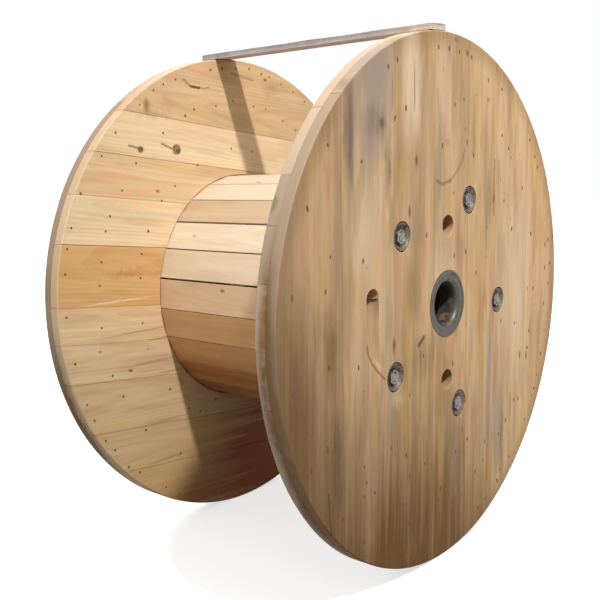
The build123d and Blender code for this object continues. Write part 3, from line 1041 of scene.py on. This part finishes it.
def close_joints(shape, across):
    """Moves a plank's two long sides out by a little, so that its joints close up."""
    sides = {vertex: (vertex.co - AXIS).dot(across) for vertex in shape.verts}
    low, high = min(sides.values()), max(sides.values())
    for vertex, side in sides.items():
        if side < low + ON_FACE:
            vertex.co -= across * JOINT_CLOSING
        elif side > high - ON_FACE:
            vertex.co += across * JOINT_CLOSING
        beyond = off_axis(vertex.co) / RIM_RADIUS
        if beyond > 1:
            vertex.co.y /= beyond
            vertex.co.z = AXIS.z + (vertex.co.z - AXIS.z) / beyond


sample = shape_of("front_outer_plank_4")
print("the middle plank, welded:", len(sample.verts), "vertices and", len(sample.faces), "faces")
sample.free()

# %% [markdown]
# ## From a shape to a piece
#
# A mesh becomes a piece of the drum when it has a finish, stands for its solids and rides on the
# drum. Smooth shading with sharp edges marked by angle keeps flat boards flat, and weighted
# normals stop the small bevels from bending the light across a whole face.

# %% Finish a piece
def set_vectors(mesh, name, values):
    """Stores one vector for each vertex under a name that the finishes read."""
    stored = mesh.attributes.new(name, "FLOAT_VECTOR", "POINT")
    stored.data.foreach_set("vector", np.asarray(values, np.float32).ravel())


def coordinates(mesh):
    """The mesh's vertices as rows of x, y and z."""
    values = np.empty(len(mesh.vertices) * 3, np.float32)
    mesh.vertices.foreach_get("co", values)
    return values.reshape(-1, 3).astype(float)


def from_axis(points, direction):
    """How far each point lies from the middle of the drum in one direction."""
    return (points - np.array(AXIS)) @ np.array(direction)


def board_rows(offset, half_width):
    """The board attribute: how far each point is from the middle of its plank, and its half width."""
    return np.stack([offset, np.full(len(offset), half_width), np.zeros(len(offset))], axis=1)


def finish_piece(name, shape, material, slot, *replaced):
    """Turns a shape into a piece that stands for its solids and rides on the drum."""
    mesh = bpy.data.meshes.new(name)
    bmesh.ops.recalc_face_normals(shape, faces=shape.faces)
    shape.to_mesh(mesh)
    shape.free()
    mesh.shade_smooth()
    mesh.set_sharp_from_angle(angle=SHARP_ANGLE)
    mesh.materials.append(material)
    piece = bpy.data.objects.new(name, mesh)
    bpy.context.scene.collection.objects.link(piece)
    normals = piece.modifiers.new("even shading", "WEIGHTED_NORMAL")
    normals.keep_sharp = True
    if replaced:
        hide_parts(*replaced)
    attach(piece, "root")
    return piece


print("each piece carries three vectors a vertex: grain, board and look")

# %% [markdown]
# ## A plank's place in its log
#
# Sawing decides the figure of a plank. A board cut far from the pith has even lines, and one cut
# near it has wide arches. So every plank draws a pith line at random: a little to one side, some
# centimetres under the face, and not quite parallel to the plank. The random numbers come from a
# seed made from the plank's own number, so the drum looks the same at every run.

# %% Grain coordinates
PITH_DEPTH = (0.03, 0.09)
PITH_SLANT = 0.035


def log_places(points, centre, along, across, random):
    """Each point's place in the log: along the pith, and two distances from it."""
    through = along.cross(across)
    local = points - np.array(centre)
    length = local @ np.array(along)
    side = local @ np.array(across)
    depth = local @ np.array(through)
    half_width = np.abs(side).max()
    pith_side = random.uniform(-0.8, 0.8) * half_width
    pith_depth = random.choice((-1, 1)) * random.uniform(*PITH_DEPTH)
    lean_side = random.uniform(-PITH_SLANT, PITH_SLANT)
    lean_depth = random.uniform(-PITH_SLANT, PITH_SLANT)
    start = random.uniform(0, 40)
    return np.stack([
        length + start,
        side - pith_side + lean_side * length,
        depth - pith_depth + lean_depth * length,
    ], axis=1)


print("pith lines lie", PITH_DEPTH[0] * 100, "to", PITH_DEPTH[1] * 100, "cm deep")

# %% [markdown]
# ## The planks of the two flanges
#
# Each flange has two crossed layers. The looks below are one line for each plank: tone from dark
# to light, warmth, and how weathered it is. The front face and the far inner face follow the real
# drum plank by plank, and the two hidden layers are drawn at random between like limits. On the
# far inner face the lowest planks are darker and warmer, which is painted shade near the ground.

# %% Plank looks
FRONT_OUTER_LOOKS = [
    (-0.12, 0.45, 0.7), (0.05, 0.15, 0.6), (-0.05, 0.40, 0.6), (0.05, 0.30, 0.6),
    (0.10, 0.30, 0.6), (0.25, 0.20, 0.5), (0.35, 0.35, 0.5),
]
# The lowest planks come first: their darker, warmer looks are painted shade near the ground.
BACK_INNER_LOOKS = [
    (-0.25, 0.55, 0.4), (-0.20, 0.50, 0.4), (-0.10, 0.45, 0.4), (0.00, 0.35, 0.3), (0.10, 0.35, 0.3),
    (0.08, 1.20, 0.2), (0.14, 0.00, 0.1), (0.00, 0.35, 0.3), (0.00, 0.00, 0.1), (-0.20, 0.55, 0.3),
]
DRAWN_TONE = (-0.35, 0.35)
DRAWN_WARMTH = (0.0, 0.6)
DRAWN_WEATHER = (0.3, 0.9)
QUARTER_TURN = radians(90)
dice = Random(17)


def drawn_looks(prefix):
    """Looks for the planks of a layer that no one has described."""
    limits = (DRAWN_TONE, DRAWN_WARMTH, DRAWN_WEATHER)
    return [tuple(dice.uniform(*pair) for pair in limits) for _ in range(how_many(prefix))]


LAYERS = [
    ("front_outer_plank", 0.0, OUTER_FACE, -1, FRONT_OUTER_LOOKS, front_wood, "front_planks"),
    ("front_inner_plank", QUARTER_TURN, INNER_FACE, 1, drawn_looks("front_inner_plank"),
     plain_inner_wood, "inner_planks"),
    ("back_inner_plank", QUARTER_TURN + BACK_TURN, -INNER_FACE, -1, BACK_INNER_LOOKS,
     cable_side_wood, "inner_planks"),
    ("back_outer_plank", BACK_TURN, -OUTER_FACE, 1, drawn_looks("back_outer_plank"),
     back_wood, "back_planks"),
]
print("planks:", sum(len(layer[4]) for layer in LAYERS))

# %% [markdown]
# ## Making the planks
#
# Every plank is made by one loop. No two planks lie quite level, so the face that shows is set
# down by up to a millimetre. Only the vertices on that face move, and the joint to the other
# layer stays where it is.

# %% Make the planks
SET_DOWN = (0.0003, 0.0011)
kept_shares = []


def make_plank(name, turn, face, inward, look, material, slot):
    """One plank with its own set-down, grain and look."""
    random = Random(name)
    shape = shape_of(name)
    drop = random.uniform(*SET_DOWN)
    across = Vector((0, cos(turn), sin(turn)))
    along = Vector((0, -sin(turn), cos(turn)))
    for vertex in shape.verts:
        if abs(vertex.co.x - face) < ON_FACE:
            vertex.co.x += inward * drop
    before = abs(shape.calc_volume())
    close_joints(shape, across)
    ease_rim(shape, face + inward * drop)
    ease_edges(shape, EASE)
    kept_shares.append(abs(shape.calc_volume()) / before)
    piece = finish_piece(name.replace("plank", "board"), shape, material, slot, name)
    points = coordinates(piece.data)
    centre = (points.min(axis=0) + points.max(axis=0)) / 2
    set_vectors(piece.data, "grain", log_places(points, centre, along, across, random))
    side = from_axis(points, across)
    middle, half = (side.min() + side.max()) / 2, (side.max() - side.min()) / 2
    set_vectors(piece.data, "board", board_rows(side - middle, half))
    set_vectors(piece.data, "look", np.tile(look, (len(points), 1)))
    return piece


boards = {}
for prefix, turn, face, inward, looks, material, slot in LAYERS:
    boards[prefix] = [
        make_plank(f"{prefix}_{number}", turn, face, inward, look, material, slot)
        for number, look in enumerate(looks, 1)
    ]
    print(prefix, sum(len(piece.data.polygons) for piece in boards[prefix]), "faces")
print("wood kept after easing:", round(min(kept_shares), 4), "to", round(max(kept_shares), 4))

# %% [markdown]
# ## The barrel
#
# The barrel is a ring of narrow flat staves. They share one mesh here, as they share one file in
# the construction, but each keeps its own grain and tone. The loose parts of the mesh are found
# by walking from face to face. A stave's joint opens a little at the outside, where the wood has
# shrunk, and a few staves shrank more than the rest. At the inside the staves stay tight, so no
# light shines through the barrel.

# %% Find the staves
def loose_parts(shape):
    """The separate bodies of a mesh, each as a set of vertices."""
    left = set(shape.verts)
    parts = []
    while left:
        front = [left.pop()]
        part = set(front)
        while front:
            for edge in front.pop().link_edges:
                for vertex in edge.verts:
                    if vertex in left:
                        left.discard(vertex)
                        part.add(vertex)
                        front.append(vertex)
        parts.append(part)
    return parts


def middle_of(part):
    """The mean of a body's vertices."""
    return sum((vertex.co for vertex in part), Vector()) / len(part)


def stave_angle(part):
    """Where a stave sits round the barrel, in degrees from +Y towards +Z."""
    middle = middle_of(part) - AXIS
    return degrees(atan2(middle.z, middle.y)) % 360


staves = shape_of("barrel_staves")
number_layer = staves.verts.layers.int.new("stave")
parts = sorted(loose_parts(staves), key=stave_angle)
print("staves:", len(parts), "first at", [round(stave_angle(part), 1) for part in parts[:3]])

# %% [markdown]
# ## Shaping the staves
#
# Each stave is narrowed at the outside by its own small amount, and the joints that gape on the
# real drum are opened wider. Each keeps its number in a vertex layer, so that the new vertices of
# the bevel know which stave they belong to.

# %% Shape the staves
STAVE_STEP = 360 / len(parts)
STAVE_TRIM = (0.0, 0.0003)
OPEN_JOINTS = {141.9: 0.0010, 170.7: 0.0013, 156.3: 0.0004}
STAVE_GAP = 0.0008
STAVE_TIGHT = 0.49
STAVE_EASE = 0.0008
stave_dice = Random(5)
for number, part in enumerate(parts):
    angle = radians(stave_angle(part))
    outward = Vector((0, cos(angle), sin(angle)))
    across = Vector((0, -sin(angle), cos(angle)))
    trim = stave_dice.uniform(*STAVE_TRIM)
    middle = middle_of(part)
    for vertex in part:
        vertex[number_layer] = number
        side = 1 if (vertex.co - middle).dot(across) > 0 else -1
        joint = (degrees(angle) + side * STAVE_STEP / 2) % 360
        opened = trim + sum(extra for at, extra in OPEN_JOINTS.items() if abs(at - joint) < 1)
        is_outside = (vertex.co - middle).dot(outward) > 0
        vertex.co -= across * side * (opened if is_outside else -STAVE_GAP * STAVE_TIGHT)
ease_edges(staves, STAVE_EASE, 1)
print("barrel vertices after the bevel:", len(staves.verts))

# %% [markdown]
# ## The grain and the tone of each stave
#
# The staves that show get their tone from the real drum. Going down from the top they are cream,
# pink, cream again, then peach. Under the barrel they are made warmer and darker, which is painted
# shade. The rest are drawn at random.

# %% Dress the barrel
SHOWN_STAVES = {
    91.5: (0.10, 0.0, 0.0), 105.9: (0.05, 0.0, 0.0), 120.3: (0.10, -0.2, 0.0),
    134.7: (-0.25, 0.50, 0.0), 149.1: (0.30, -0.2, 0.0), 163.5: (0.38, 0.15, 0.1),
    177.9: (0.55, 0.60, 0.1), 192.3: (0.60, 1.10, 0.2), 206.7: (0.40, 1.25, 0.2),
    # Painted shade: the staves under the barrel are warmer, and the two lowest darker.
    221.1: (0.20, 1.25, 0.2), 235.5: (-0.40, 1.25, 0.2), 249.9: (-0.50, 1.25, 0.2),
}
HIDDEN_TONE = (-0.3, 0.3)
HIDDEN_WARMTH = (0, 0.6)
HIDDEN_WEATHER = 0.2
ALONG_THE_DRUM = Vector((1, 0, 0))
numbers = np.array([vertex[number_layer] for vertex in staves.verts])
barrel = finish_piece("barrel", staves, stave_wood, "staves", "barrel_staves")
points = coordinates(barrel.data)
grain_places, board_places, looks = (np.zeros_like(points) for _ in range(3))
for number in range(len(parts)):
    mine = numbers == number
    centre = points[mine].mean(axis=0)
    angle = atan2(centre[2] - AXIS.z, centre[1])
    across = Vector((0, -sin(angle), cos(angle)))
    grain_places[mine] = log_places(points[mine], centre, ALONG_THE_DRUM, across, stave_dice)
    side = (points[mine] - centre) @ np.array(across)
    board_places[mine] = board_rows(side, np.abs(side).max())
    turn = degrees(angle) % 360
    shown = min(SHOWN_STAVES, key=lambda at: abs(at - turn))
    if abs(shown - turn) < STAVE_STEP / 2:
        looks[mine] = SHOWN_STAVES[shown]
    else:
        looks[mine] = (stave_dice.uniform(*HIDDEN_TONE), stave_dice.uniform(*HIDDEN_WARMTH), HIDDEN_WEATHER)
set_vectors(barrel.data, "grain", grain_places)
set_vectors(barrel.data, "board", board_places)
set_vectors(barrel.data, "look", looks)
print("barrel faces:", len(barrel.data.polygons))

# %% [markdown]
# ## The batten
#
# A thin sawn board, nailed across the tops of the rims to keep the cable covered. It is rough: its
# edges wander, and its ends are splintered. A plain box can't show that, so the board is swept as
# many short stations, and each station's corners give way inwards by a slowly changing amount.
# The frame's own batten is measured first, along its width and its height.

# %% Measure the batten
BATTEN_ANGLE = radians(94.5)
BATTEN_STATIONS = 72
BATTEN_WANDER = 0.0022
BATTEN_CHIPS = 0.0014
BATTEN_THIN = 0.0009
BATTEN_SPLINTER = 0.0035
WANDER_STEPS = (5, 7, 6, 9)
batten_low, batten_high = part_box("top_batten")
batten_points = np.array([vertex.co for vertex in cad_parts["top_batten"].data.vertices])
batten_up = Vector((0, cos(BATTEN_ANGLE), sin(BATTEN_ANGLE)))
batten_across = Vector((0, -sin(BATTEN_ANGLE), cos(BATTEN_ANGLE)))
heights = from_axis(batten_points, batten_up)
sides = from_axis(batten_points, batten_across)


def slow_random(random, count, step):
    """Numbers between 0 and 1 that change slowly from one to the next."""
    knots = [random.random() for _ in range(count // step + 2)]
    values = []
    for index in range(count):
        whole, part = divmod(index / step, 1)
        ease = part * part * (3 - 2 * part)
        values.append(knots[int(whole)] * (1 - ease) + knots[int(whole) + 1] * ease)
    return values


def batten_station(shape, station, wander, random):
    """The five corners of the board at one station. At the two ends they are splintered."""
    left_wander, right_wander, top_wander, _ = (values[station] for values in wander)
    share = station / BATTEN_STATIONS
    x = batten_low.x + (batten_high.x - batten_low.x) * share
    left = sides.min() + left_wander * BATTEN_WANDER + random.random() * BATTEN_CHIPS
    right = sides.max() - right_wander * BATTEN_WANDER - random.random() * BATTEN_CHIPS
    top = heights.max() - top_wander * BATTEN_THIN
    bottom = heights.min()
    inward = 1 if station == 0 else -1
    middle = (left + right) / 2
    corners = []
    for side, height in ((left, bottom), (right, bottom), (right, top), (middle, top), (left, top)):
        ragged = random.random() * BATTEN_SPLINTER if station in (0, BATTEN_STATIONS) else 0.0
        place = AXIS + batten_across * side + batten_up * height
        corners.append(shape.verts.new((x + inward * ragged, place.y, place.z)))
    return corners


print("batten", round(np.ptp(sides) * 1000, 1), "mm wide and", round(np.ptp(heights) * 1000, 1), "mm thick")

# %% [markdown]
# ## Rings of vertices
#
# Many shapes here are rings of vertices, joined by faces: the batten's stations, nuts, turned
# metal, nails. So one helper joins each ring to the next. The batten then gets its grain, and a
# look that goes from a paler underside to a darker, grey, rain-washed top. The paler underside is
# painted light where the board lies in shade, and the darker top is painted shade where the lamp
# falls full on it, besides real weathering.

# %% Make the batten
BATTEN_EASE = 0.0009
# Painted light on the shaded underside, and painted shade on the lit top, with the top's real weathering.
BATTEN_UNDERSIDE_PAINTED_LIGHT = (0.15, 0.0, 0.2)
BATTEN_TOP_PAINTED_SHADE_AND_WEATHER = (-0.60, 0.0, 0.7)


def join_rings(shape, rings, closed):
    """Faces from each ring of vertices to the next. A ring of one vertex is a tip."""
    pairs = list(zip(rings, rings[1:]))
    if closed:
        pairs.append((rings[-1], rings[0]))
    for first, second in pairs:
        steps = max(len(first), len(second))
        for step in range(steps):
            after = (step + 1) % steps
            corners = [first[step % len(first)], first[after % len(first)]]
            corners += [second[after % len(second)], second[step % len(second)]]
            shape.faces.new(list(dict.fromkeys(corners)))


def make_batten():
    """A swept board with wandering edges and splintered ends."""
    random = Random(31)
    shape = bmesh.new()
    wander = [slow_random(random, BATTEN_STATIONS + 1, step) for step in WANDER_STEPS]
    rings = [batten_station(shape, station, wander, random) for station in range(BATTEN_STATIONS + 1)]
    join_rings(shape, rings, closed=False)
    shape.faces.new(rings[0][::-1])
    shape.faces.new(rings[-1])
    bmesh.ops.recalc_face_normals(shape, faces=shape.faces)
    ease_edges(shape, BATTEN_EASE)
    piece = finish_piece("rim_batten", shape, batten_wood, "batten", "top_batten")
    points = coordinates(piece.data)
    centre = points.mean(axis=0)
    set_vectors(piece.data, "grain", log_places(points, centre, ALONG_THE_DRUM, batten_across, random))
    side = (points - centre) @ np.array(batten_across)
    set_vectors(piece.data, "board", board_rows(side, np.abs(side).max()))
    # The look runs from painted light on the underside to painted shade and weathering on the top.
    share = (from_axis(points, batten_up) - heights.min()) / np.ptp(heights)
    looks = np.outer(1 - share, BATTEN_UNDERSIDE_PAINTED_LIGHT) + np.outer(share, BATTEN_TOP_PAINTED_SHADE_AND_WEATHER)
    set_vectors(piece.data, "look", looks)
    return piece


batten = make_batten()
print("batten faces:", len(batten.data.polygons))

# %% [markdown]
# ## Round metal parts
#
# Washers, nail heads, rods and the bushing are all turned shapes: one profile, spun round an axis
# along X. The profile is a short list of radius and height, where height counts outwards from a
# face of the drum. One function spins any of them into a mesh that may already hold others.

# %% Turned shapes
def round_point(centre, x, radius, turn):
    """A point on a circle round an axis along X through centre."""
    return (x, centre.y + radius * cos(turn), centre.z + radius * sin(turn))


def full_turn(steps):
    """The angles of a full turn, in equal steps."""
    return [2 * pi * step / steps for step in range(steps)]


def spin(shape, profile, centre, base, side, steps, closed=True):
    """Spins a profile of (radius, height) round an axis along X through centre."""
    rings = []
    for radius, height in profile:
        x = base + side * height
        if radius == 0:
            rings.append([shape.verts.new((x, centre.y, centre.z))])
            continue
        rings.append([shape.verts.new(round_point(centre, x, radius, turn)) for turn in full_turn(steps)])
    join_rings(shape, rings, closed)


print("a turned shape of 48 steps has a corner every", degrees(full_turn(48)[1]), "degrees")

# %% [markdown]
# ## Nuts
#
# A nut is a hexagon whose corners are turned off at 30 degrees, which leaves the curved edges that
# everyone knows from a real nut. The outline is walked in 48 steps. At each step the height
# drops by what the turning tool takes off, so the curve comes by itself.

# %% Nut shape
NUT_STEPS = 48
NUT_FLATS = 0.024
NUT_HOLE = 0.0081
NUT_CHAMFER = radians(30)
NUT_TOP = NUT_FLATS / 2 * 0.97
NUT_LIP = 0.0012
NUT_ARRIS = 0.0002


def hexagon_radius(turn, flats):
    """How far a hexagon's outline is from its middle in a given direction."""
    within = (turn + pi / 6) % (pi / 3) - pi / 6
    return flats / 2 / cos(within)


def nut_profile(outline, height):
    """The nut's six rings as radius and height, where its outline is this far out."""
    drop = max(0.0, outline - NUT_TOP) * tan(NUT_CHAMFER)
    return [
        (NUT_HOLE, 0.0), (NUT_HOLE, height - NUT_LIP), (NUT_HOLE + NUT_LIP, height),
        (NUT_TOP, height), (outline, height - drop - NUT_ARRIS), (outline, 0.0),
    ]


def nut_shape(shape, centre, base, side, height):
    """A chamfered nut that stands on its base."""
    turns = full_turn(NUT_STEPS)
    profiles = [nut_profile(hexagon_radius(turn, NUT_FLATS), height) for turn in turns]
    rings = []
    for level in zip(*profiles):
        ring = []
        for turn, (radius, up) in zip(turns, level):
            ring.append(shape.verts.new(round_point(centre, base + side * up, radius, turn)))
        rings.append(ring)
    join_rings(shape, rings, closed=True)


nut_corner = hexagon_radius(pi / 6, NUT_FLATS)
print("nut:", round(NUT_FLATS * 1000), "mm over the flats,", round(nut_corner * 2000, 1), "over the corners")

# %% [markdown]
# ## Washers and rods
#
# Each nut sits in a dished washer, a pressed cup whose rim comes up nearly to the wood. The cup
# keeps the nut clear of everything that the drum rolls over. Its profile goes up the inside of
# the dish, over a rolled rim and down the outside. A rod's profile is a zigzag at both ends, one
# tooth for each turn of the thread, which looks right without a true spiral.

# %% Washer and rod profiles
WASHER_STEPS = 48
WASHER_HOLE = 0.0085
WASHER_SEAT = 0.0144
WASHER_FOOT = 0.0168
WASHER_RIM = 0.0250
WASHER_THICK = 0.0040
WASHER_ARRIS = 0.0006
ROD_STEPS = 32
ROD_CHAMFER = 0.0014
THREAD_START = 0.0008
THREAD_TURNS = 14
THREAD_PITCH = 0.002
THREAD_DEPTH = 0.0009


def washer_profile(rim):
    """A dished washer: the seat of the nut, the flare, a rolled rim and the outside."""
    return [
        (WASHER_HOLE, 0.0), (WASHER_HOLE, WASHER_THICK - WASHER_ARRIS),
        (WASHER_HOLE + WASHER_ARRIS, WASHER_THICK),
        (WASHER_SEAT - 0.0008, WASHER_THICK), (WASHER_SEAT, WASHER_THICK + 0.0003),
        (WASHER_SEAT + 0.0010, WASHER_THICK + 0.0011), (WASHER_RIM - 0.0022, rim - 0.0010),
        (WASHER_RIM - 0.0016, rim - 0.0003), (WASHER_RIM - 0.0009, rim), (WASHER_RIM - 0.0002, rim - 0.0003),
        (WASHER_RIM, rim - 0.0010), (WASHER_FOOT + 0.0002, 0.0008), (WASHER_FOOT - WASHER_ARRIS, 0.0),
    ]


def rod_profile(radius, half_length):
    """Half a tie rod: a chamfered end, some turns of thread, then the plain shank."""
    profile = [(0, half_length), (radius - ROD_CHAMFER, half_length)]
    depth = THREAD_START
    for _ in range(THREAD_TURNS):
        crest = half_length - depth
        profile += [(radius, crest), (radius - THREAD_DEPTH, crest - THREAD_PITCH / 2)]
        depth += THREAD_PITCH
    return profile + [(radius, half_length - depth)]


print("thread:", THREAD_TURNS, "turns of", THREAD_PITCH * 1000, "mm at each end")

# %% [markdown]
# ## The five tie rods with their nuts and washers
#
# Five rods clamp the flanges against the staves. Everything is set on the boxes of the frame's own
# nuts, washers and rods, so no place is typed in twice. The washers of a flange share one mesh, as
# they share one file in the construction.

# %% Make the fasteners
rod_numbers = range(1, how_many("tie_rod_") + 1)
for end, side in (("front", 1), ("back", -1)):
    washers = bmesh.new()
    washer_low, washer_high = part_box(f"{end}_washers")
    washer_base = washer_low.x if side > 0 else washer_high.x
    washer_height = washer_high.x - washer_low.x
    for number in rod_numbers:
        low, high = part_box(f"{end}_nut_{number}")
        centre = (low + high) / 2
        base = low.x if side > 0 else high.x
        nut = bmesh.new()
        nut_shape(nut, centre, base, side, high.x - low.x)
        finish_piece(f"{end}_hex_nut_{number}", nut, fastener_steel, "fastener_steel", f"{end}_nut_{number}")
        spin(washers, washer_profile(washer_height), centre, washer_base, side, WASHER_STEPS)
    finish_piece(f"{end}_plate_washers", washers, washer_steel, "fastener_steel", f"{end}_washers")
for number in rod_numbers:
    low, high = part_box(f"tie_rod_{number}")
    half = rod_profile((high.z - low.z) / 2, (high.x - low.x) / 2)
    whole = half + [(radius, -height) for radius, height in reversed(half)]
    rod = bmesh.new()
    spin(rod, whole, (low + high) / 2, 0.0, 1, ROD_STEPS, closed=False)
    finish_piece(f"threaded_rod_{number}", rod, fastener_steel, "fastener_steel", f"tie_rod_{number}")
print("nuts, washers and rods made for", len(rod_numbers), "rods")

# %% [markdown]
# ## The bushings
#
# The bushing is what the spindle turns in. Its ring lies flush in the face, dished between a thin
# outer edge and a rounded lip, and the lip rolls over into the bore. All of that is one profile.

# %% Make the bushings
BORE_RADIUS = 0.040
BUSHING_WALL = 0.006
BUSHING_STEPS = 96


def bushing_profile(ring, depth):
    """From the bore's inner end out through the lip, over the ring and back along the tube."""
    bore = BORE_RADIUS
    tube = bore + BUSHING_WALL
    return [
        (bore, -depth + 0.0006), (bore, -0.0200), (bore + 0.0005, -0.0130), (bore + 0.0015, -0.0080),
        (bore + 0.0030, -0.0048), (bore + 0.0050, -0.0030), (bore + 0.0074, -0.0018),
        (bore + 0.0100, -0.0011), (bore + 0.0124, -0.0012), (ring - 0.0085, -0.0019),
        (ring - 0.0050, -0.0010), (ring - 0.0028, -0.0003), (ring - 0.0012, -0.0002),
        (ring - 0.0003, -0.0007), (ring, -0.0016), (ring, -0.0050), (tube, -0.0050),
        (tube, -depth + 0.0004), (tube - 0.0004, -depth), (bore + 0.0006, -depth),
    ]


for end, side in (("front", 1), ("back", -1)):
    low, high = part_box(f"{end}_bushing")
    bushing = bmesh.new()
    profile = bushing_profile((high.y - low.y) / 2, high.x - low.x)
    spin(bushing, profile, AXIS, side * OUTER_FACE, side, BUSHING_STEPS)
    finish_piece(f"{end}_spindle_bushing", bushing, bushing_steel, "bushing_steel", f"{end}_bushing")
print("bushings made, with a bore of", BORE_RADIUS * 2000, "mm")

# %% [markdown]
# ## Nails
#
# The two layers of a flange are nailed together in rings. From the cable side the heads show, and
# on the outer face the points were bent over along the grain. There are hundreds, so they are
# small turned shapes joined in one mesh for each face. A ray is shot at the timber for every
# nail, and a nail whose ray misses, or meets a hole or a joint, isn't driven.

# %% Where the nails go
NAIL_RINGS = {1: (0.467, 0.384, 0.300), -1: (0.483, 0.407, 0.305)}
NAIL_STEP = (0.043, 0.054, 0.062)
NAIL_HEAD = 0.0026
NAIL_JITTER = 0.0045
NAIL_SWAY = 0.28
HEADS_MISSING = 0.12
POINTS_MISSING = 0.50
RAY_START = 0.01
RAY_LENGTH = 0.012
LEVEL_ENOUGH = 0.0002


def nail_places(side, missing):
    """Where the nails of one face go: (across, up) from the axis."""
    random = Random(90 + side)
    places = []
    for radius, step in zip(NAIL_RINGS[side], NAIL_STEP, strict=True):
        count = round(2 * pi * radius / step)
        for number in range(count):
            turn = 2 * pi * (number + random.uniform(-NAIL_SWAY, NAIL_SWAY)) / count
            reach = radius + random.uniform(-NAIL_JITTER, NAIL_JITTER)
            if random.random() > missing:
                places.append((reach * cos(turn), reach * sin(turn)))
    return places


def timber_tree(pieces):
    """A search tree over the faces of some boards."""
    corners, faces = [], []
    for piece in pieces:
        start = len(corners)
        corners += [vertex.co.copy() for vertex in piece.data.vertices]
        faces += [[start + index for index in face.vertices] for face in piece.data.polygons]
    return BVHTree.FromPolygons(corners, faces)


def timber_height(tree, face, outward, across, up, reach):
    """How high the timber is under a nail, or None where there is a hole, a joint or an edge."""
    heights = []
    for step_across, step_up in ((0, 0), (reach, 0), (-reach, 0), (0, reach), (0, -reach)):
        start = Vector((face + outward * RAY_START, across + step_across, AXIS.z + up + step_up))
        hit = tree.ray_cast(start, Vector((-outward, 0, 0)), RAY_LENGTH)[0]
        if hit is None:
            return None
        heights.append(hit.x)
    return None if max(heights) - min(heights) > LEVEL_ENOUGH else heights[0]


print("places for nail heads on the far flange:", len(nail_places(-1, HEADS_MISSING)))

# %% [markdown]
# ## Heads and points
#
# A head stands a hair above the wood and has a soft edge, so it catches the light. A point was
# bent over and hammered in along the grain, and shows as a short flat oval. Both are drawn with
# few faces, because there are hundreds of them.

# %% Drive the nails
NAIL_STEPS = 12
HEAD_SIZES = (0.85, 1.15)
POINT_HALF_LENGTHS = (0.0035, 0.0065)
POINT_HALF_WIDTHS = (0.0022, 0.0034)
POINT_LEAN = 0.35
POINT_PROFILE = ((1.0, -0.0003), (0.9, 0.0001), (0.45, 0.00025))


def nail_head(shape, centre, base, outward, random):
    """A flat head, a hair above the wood, with a soft edge."""
    radius = NAIL_HEAD * random.uniform(*HEAD_SIZES)
    profile = [(radius, -0.0004), (radius, 0.00005), (radius * 0.86, 0.0002), (0, 0.00014)]
    spin(shape, profile, centre, base, outward, NAIL_STEPS, closed=False)


def nail_point(shape, centre, base, outward, turn, random):
    """The end of a nail, bent over and hammered into the face."""
    long = random.uniform(*POINT_HALF_LENGTHS)
    wide = random.uniform(*POINT_HALF_WIDTHS)
    lean = turn + random.uniform(-POINT_LEAN, POINT_LEAN)
    rings = []
    for share, height in POINT_PROFILE:
        ring = []
        for angle in full_turn(NAIL_STEPS):
            along, across = long * share * cos(angle), wide * share * sin(angle)
            y = centre.y + across * cos(lean) - along * sin(lean)
            z = centre.z + across * sin(lean) + along * cos(lean)
            ring.append(shape.verts.new((base + outward * height, y, z)))
        rings.append(ring)
    join_rings(shape, rings, closed=False)
    shape.faces.new(rings[-1])


for name, face, outward, points_show, turn in (
    ("front_outer_plank", OUTER_FACE, 1, True, 0.0),
    ("front_inner_plank", INNER_FACE, -1, False, 0.0),
    ("back_inner_plank", -INNER_FACE, 1, False, BACK_TURN),
    ("back_outer_plank", -OUTER_FACE, -1, True, BACK_TURN),
):
    side = 1 if face > 0 else -1
    random = Random(name)
    tree = timber_tree(boards[name])
    nails = bmesh.new()
    driven = 0
    for across, up in nail_places(side, POINTS_MISSING if points_show else HEADS_MISSING):
        height = timber_height(tree, face, outward, across, up, NAIL_HEAD * 1.5)
        if height is None:
            continue
        centre = Vector((0, across, AXIS.z + up))
        if points_show:
            nail_point(nails, centre, height, outward, turn, random)
        else:
            nail_head(nails, centre, height, outward, random)
        driven += 1
    finish_piece(name.replace("plank", "nails"), nails, nail_steel, "fastener_steel")
    print(name, "nails:", driven)
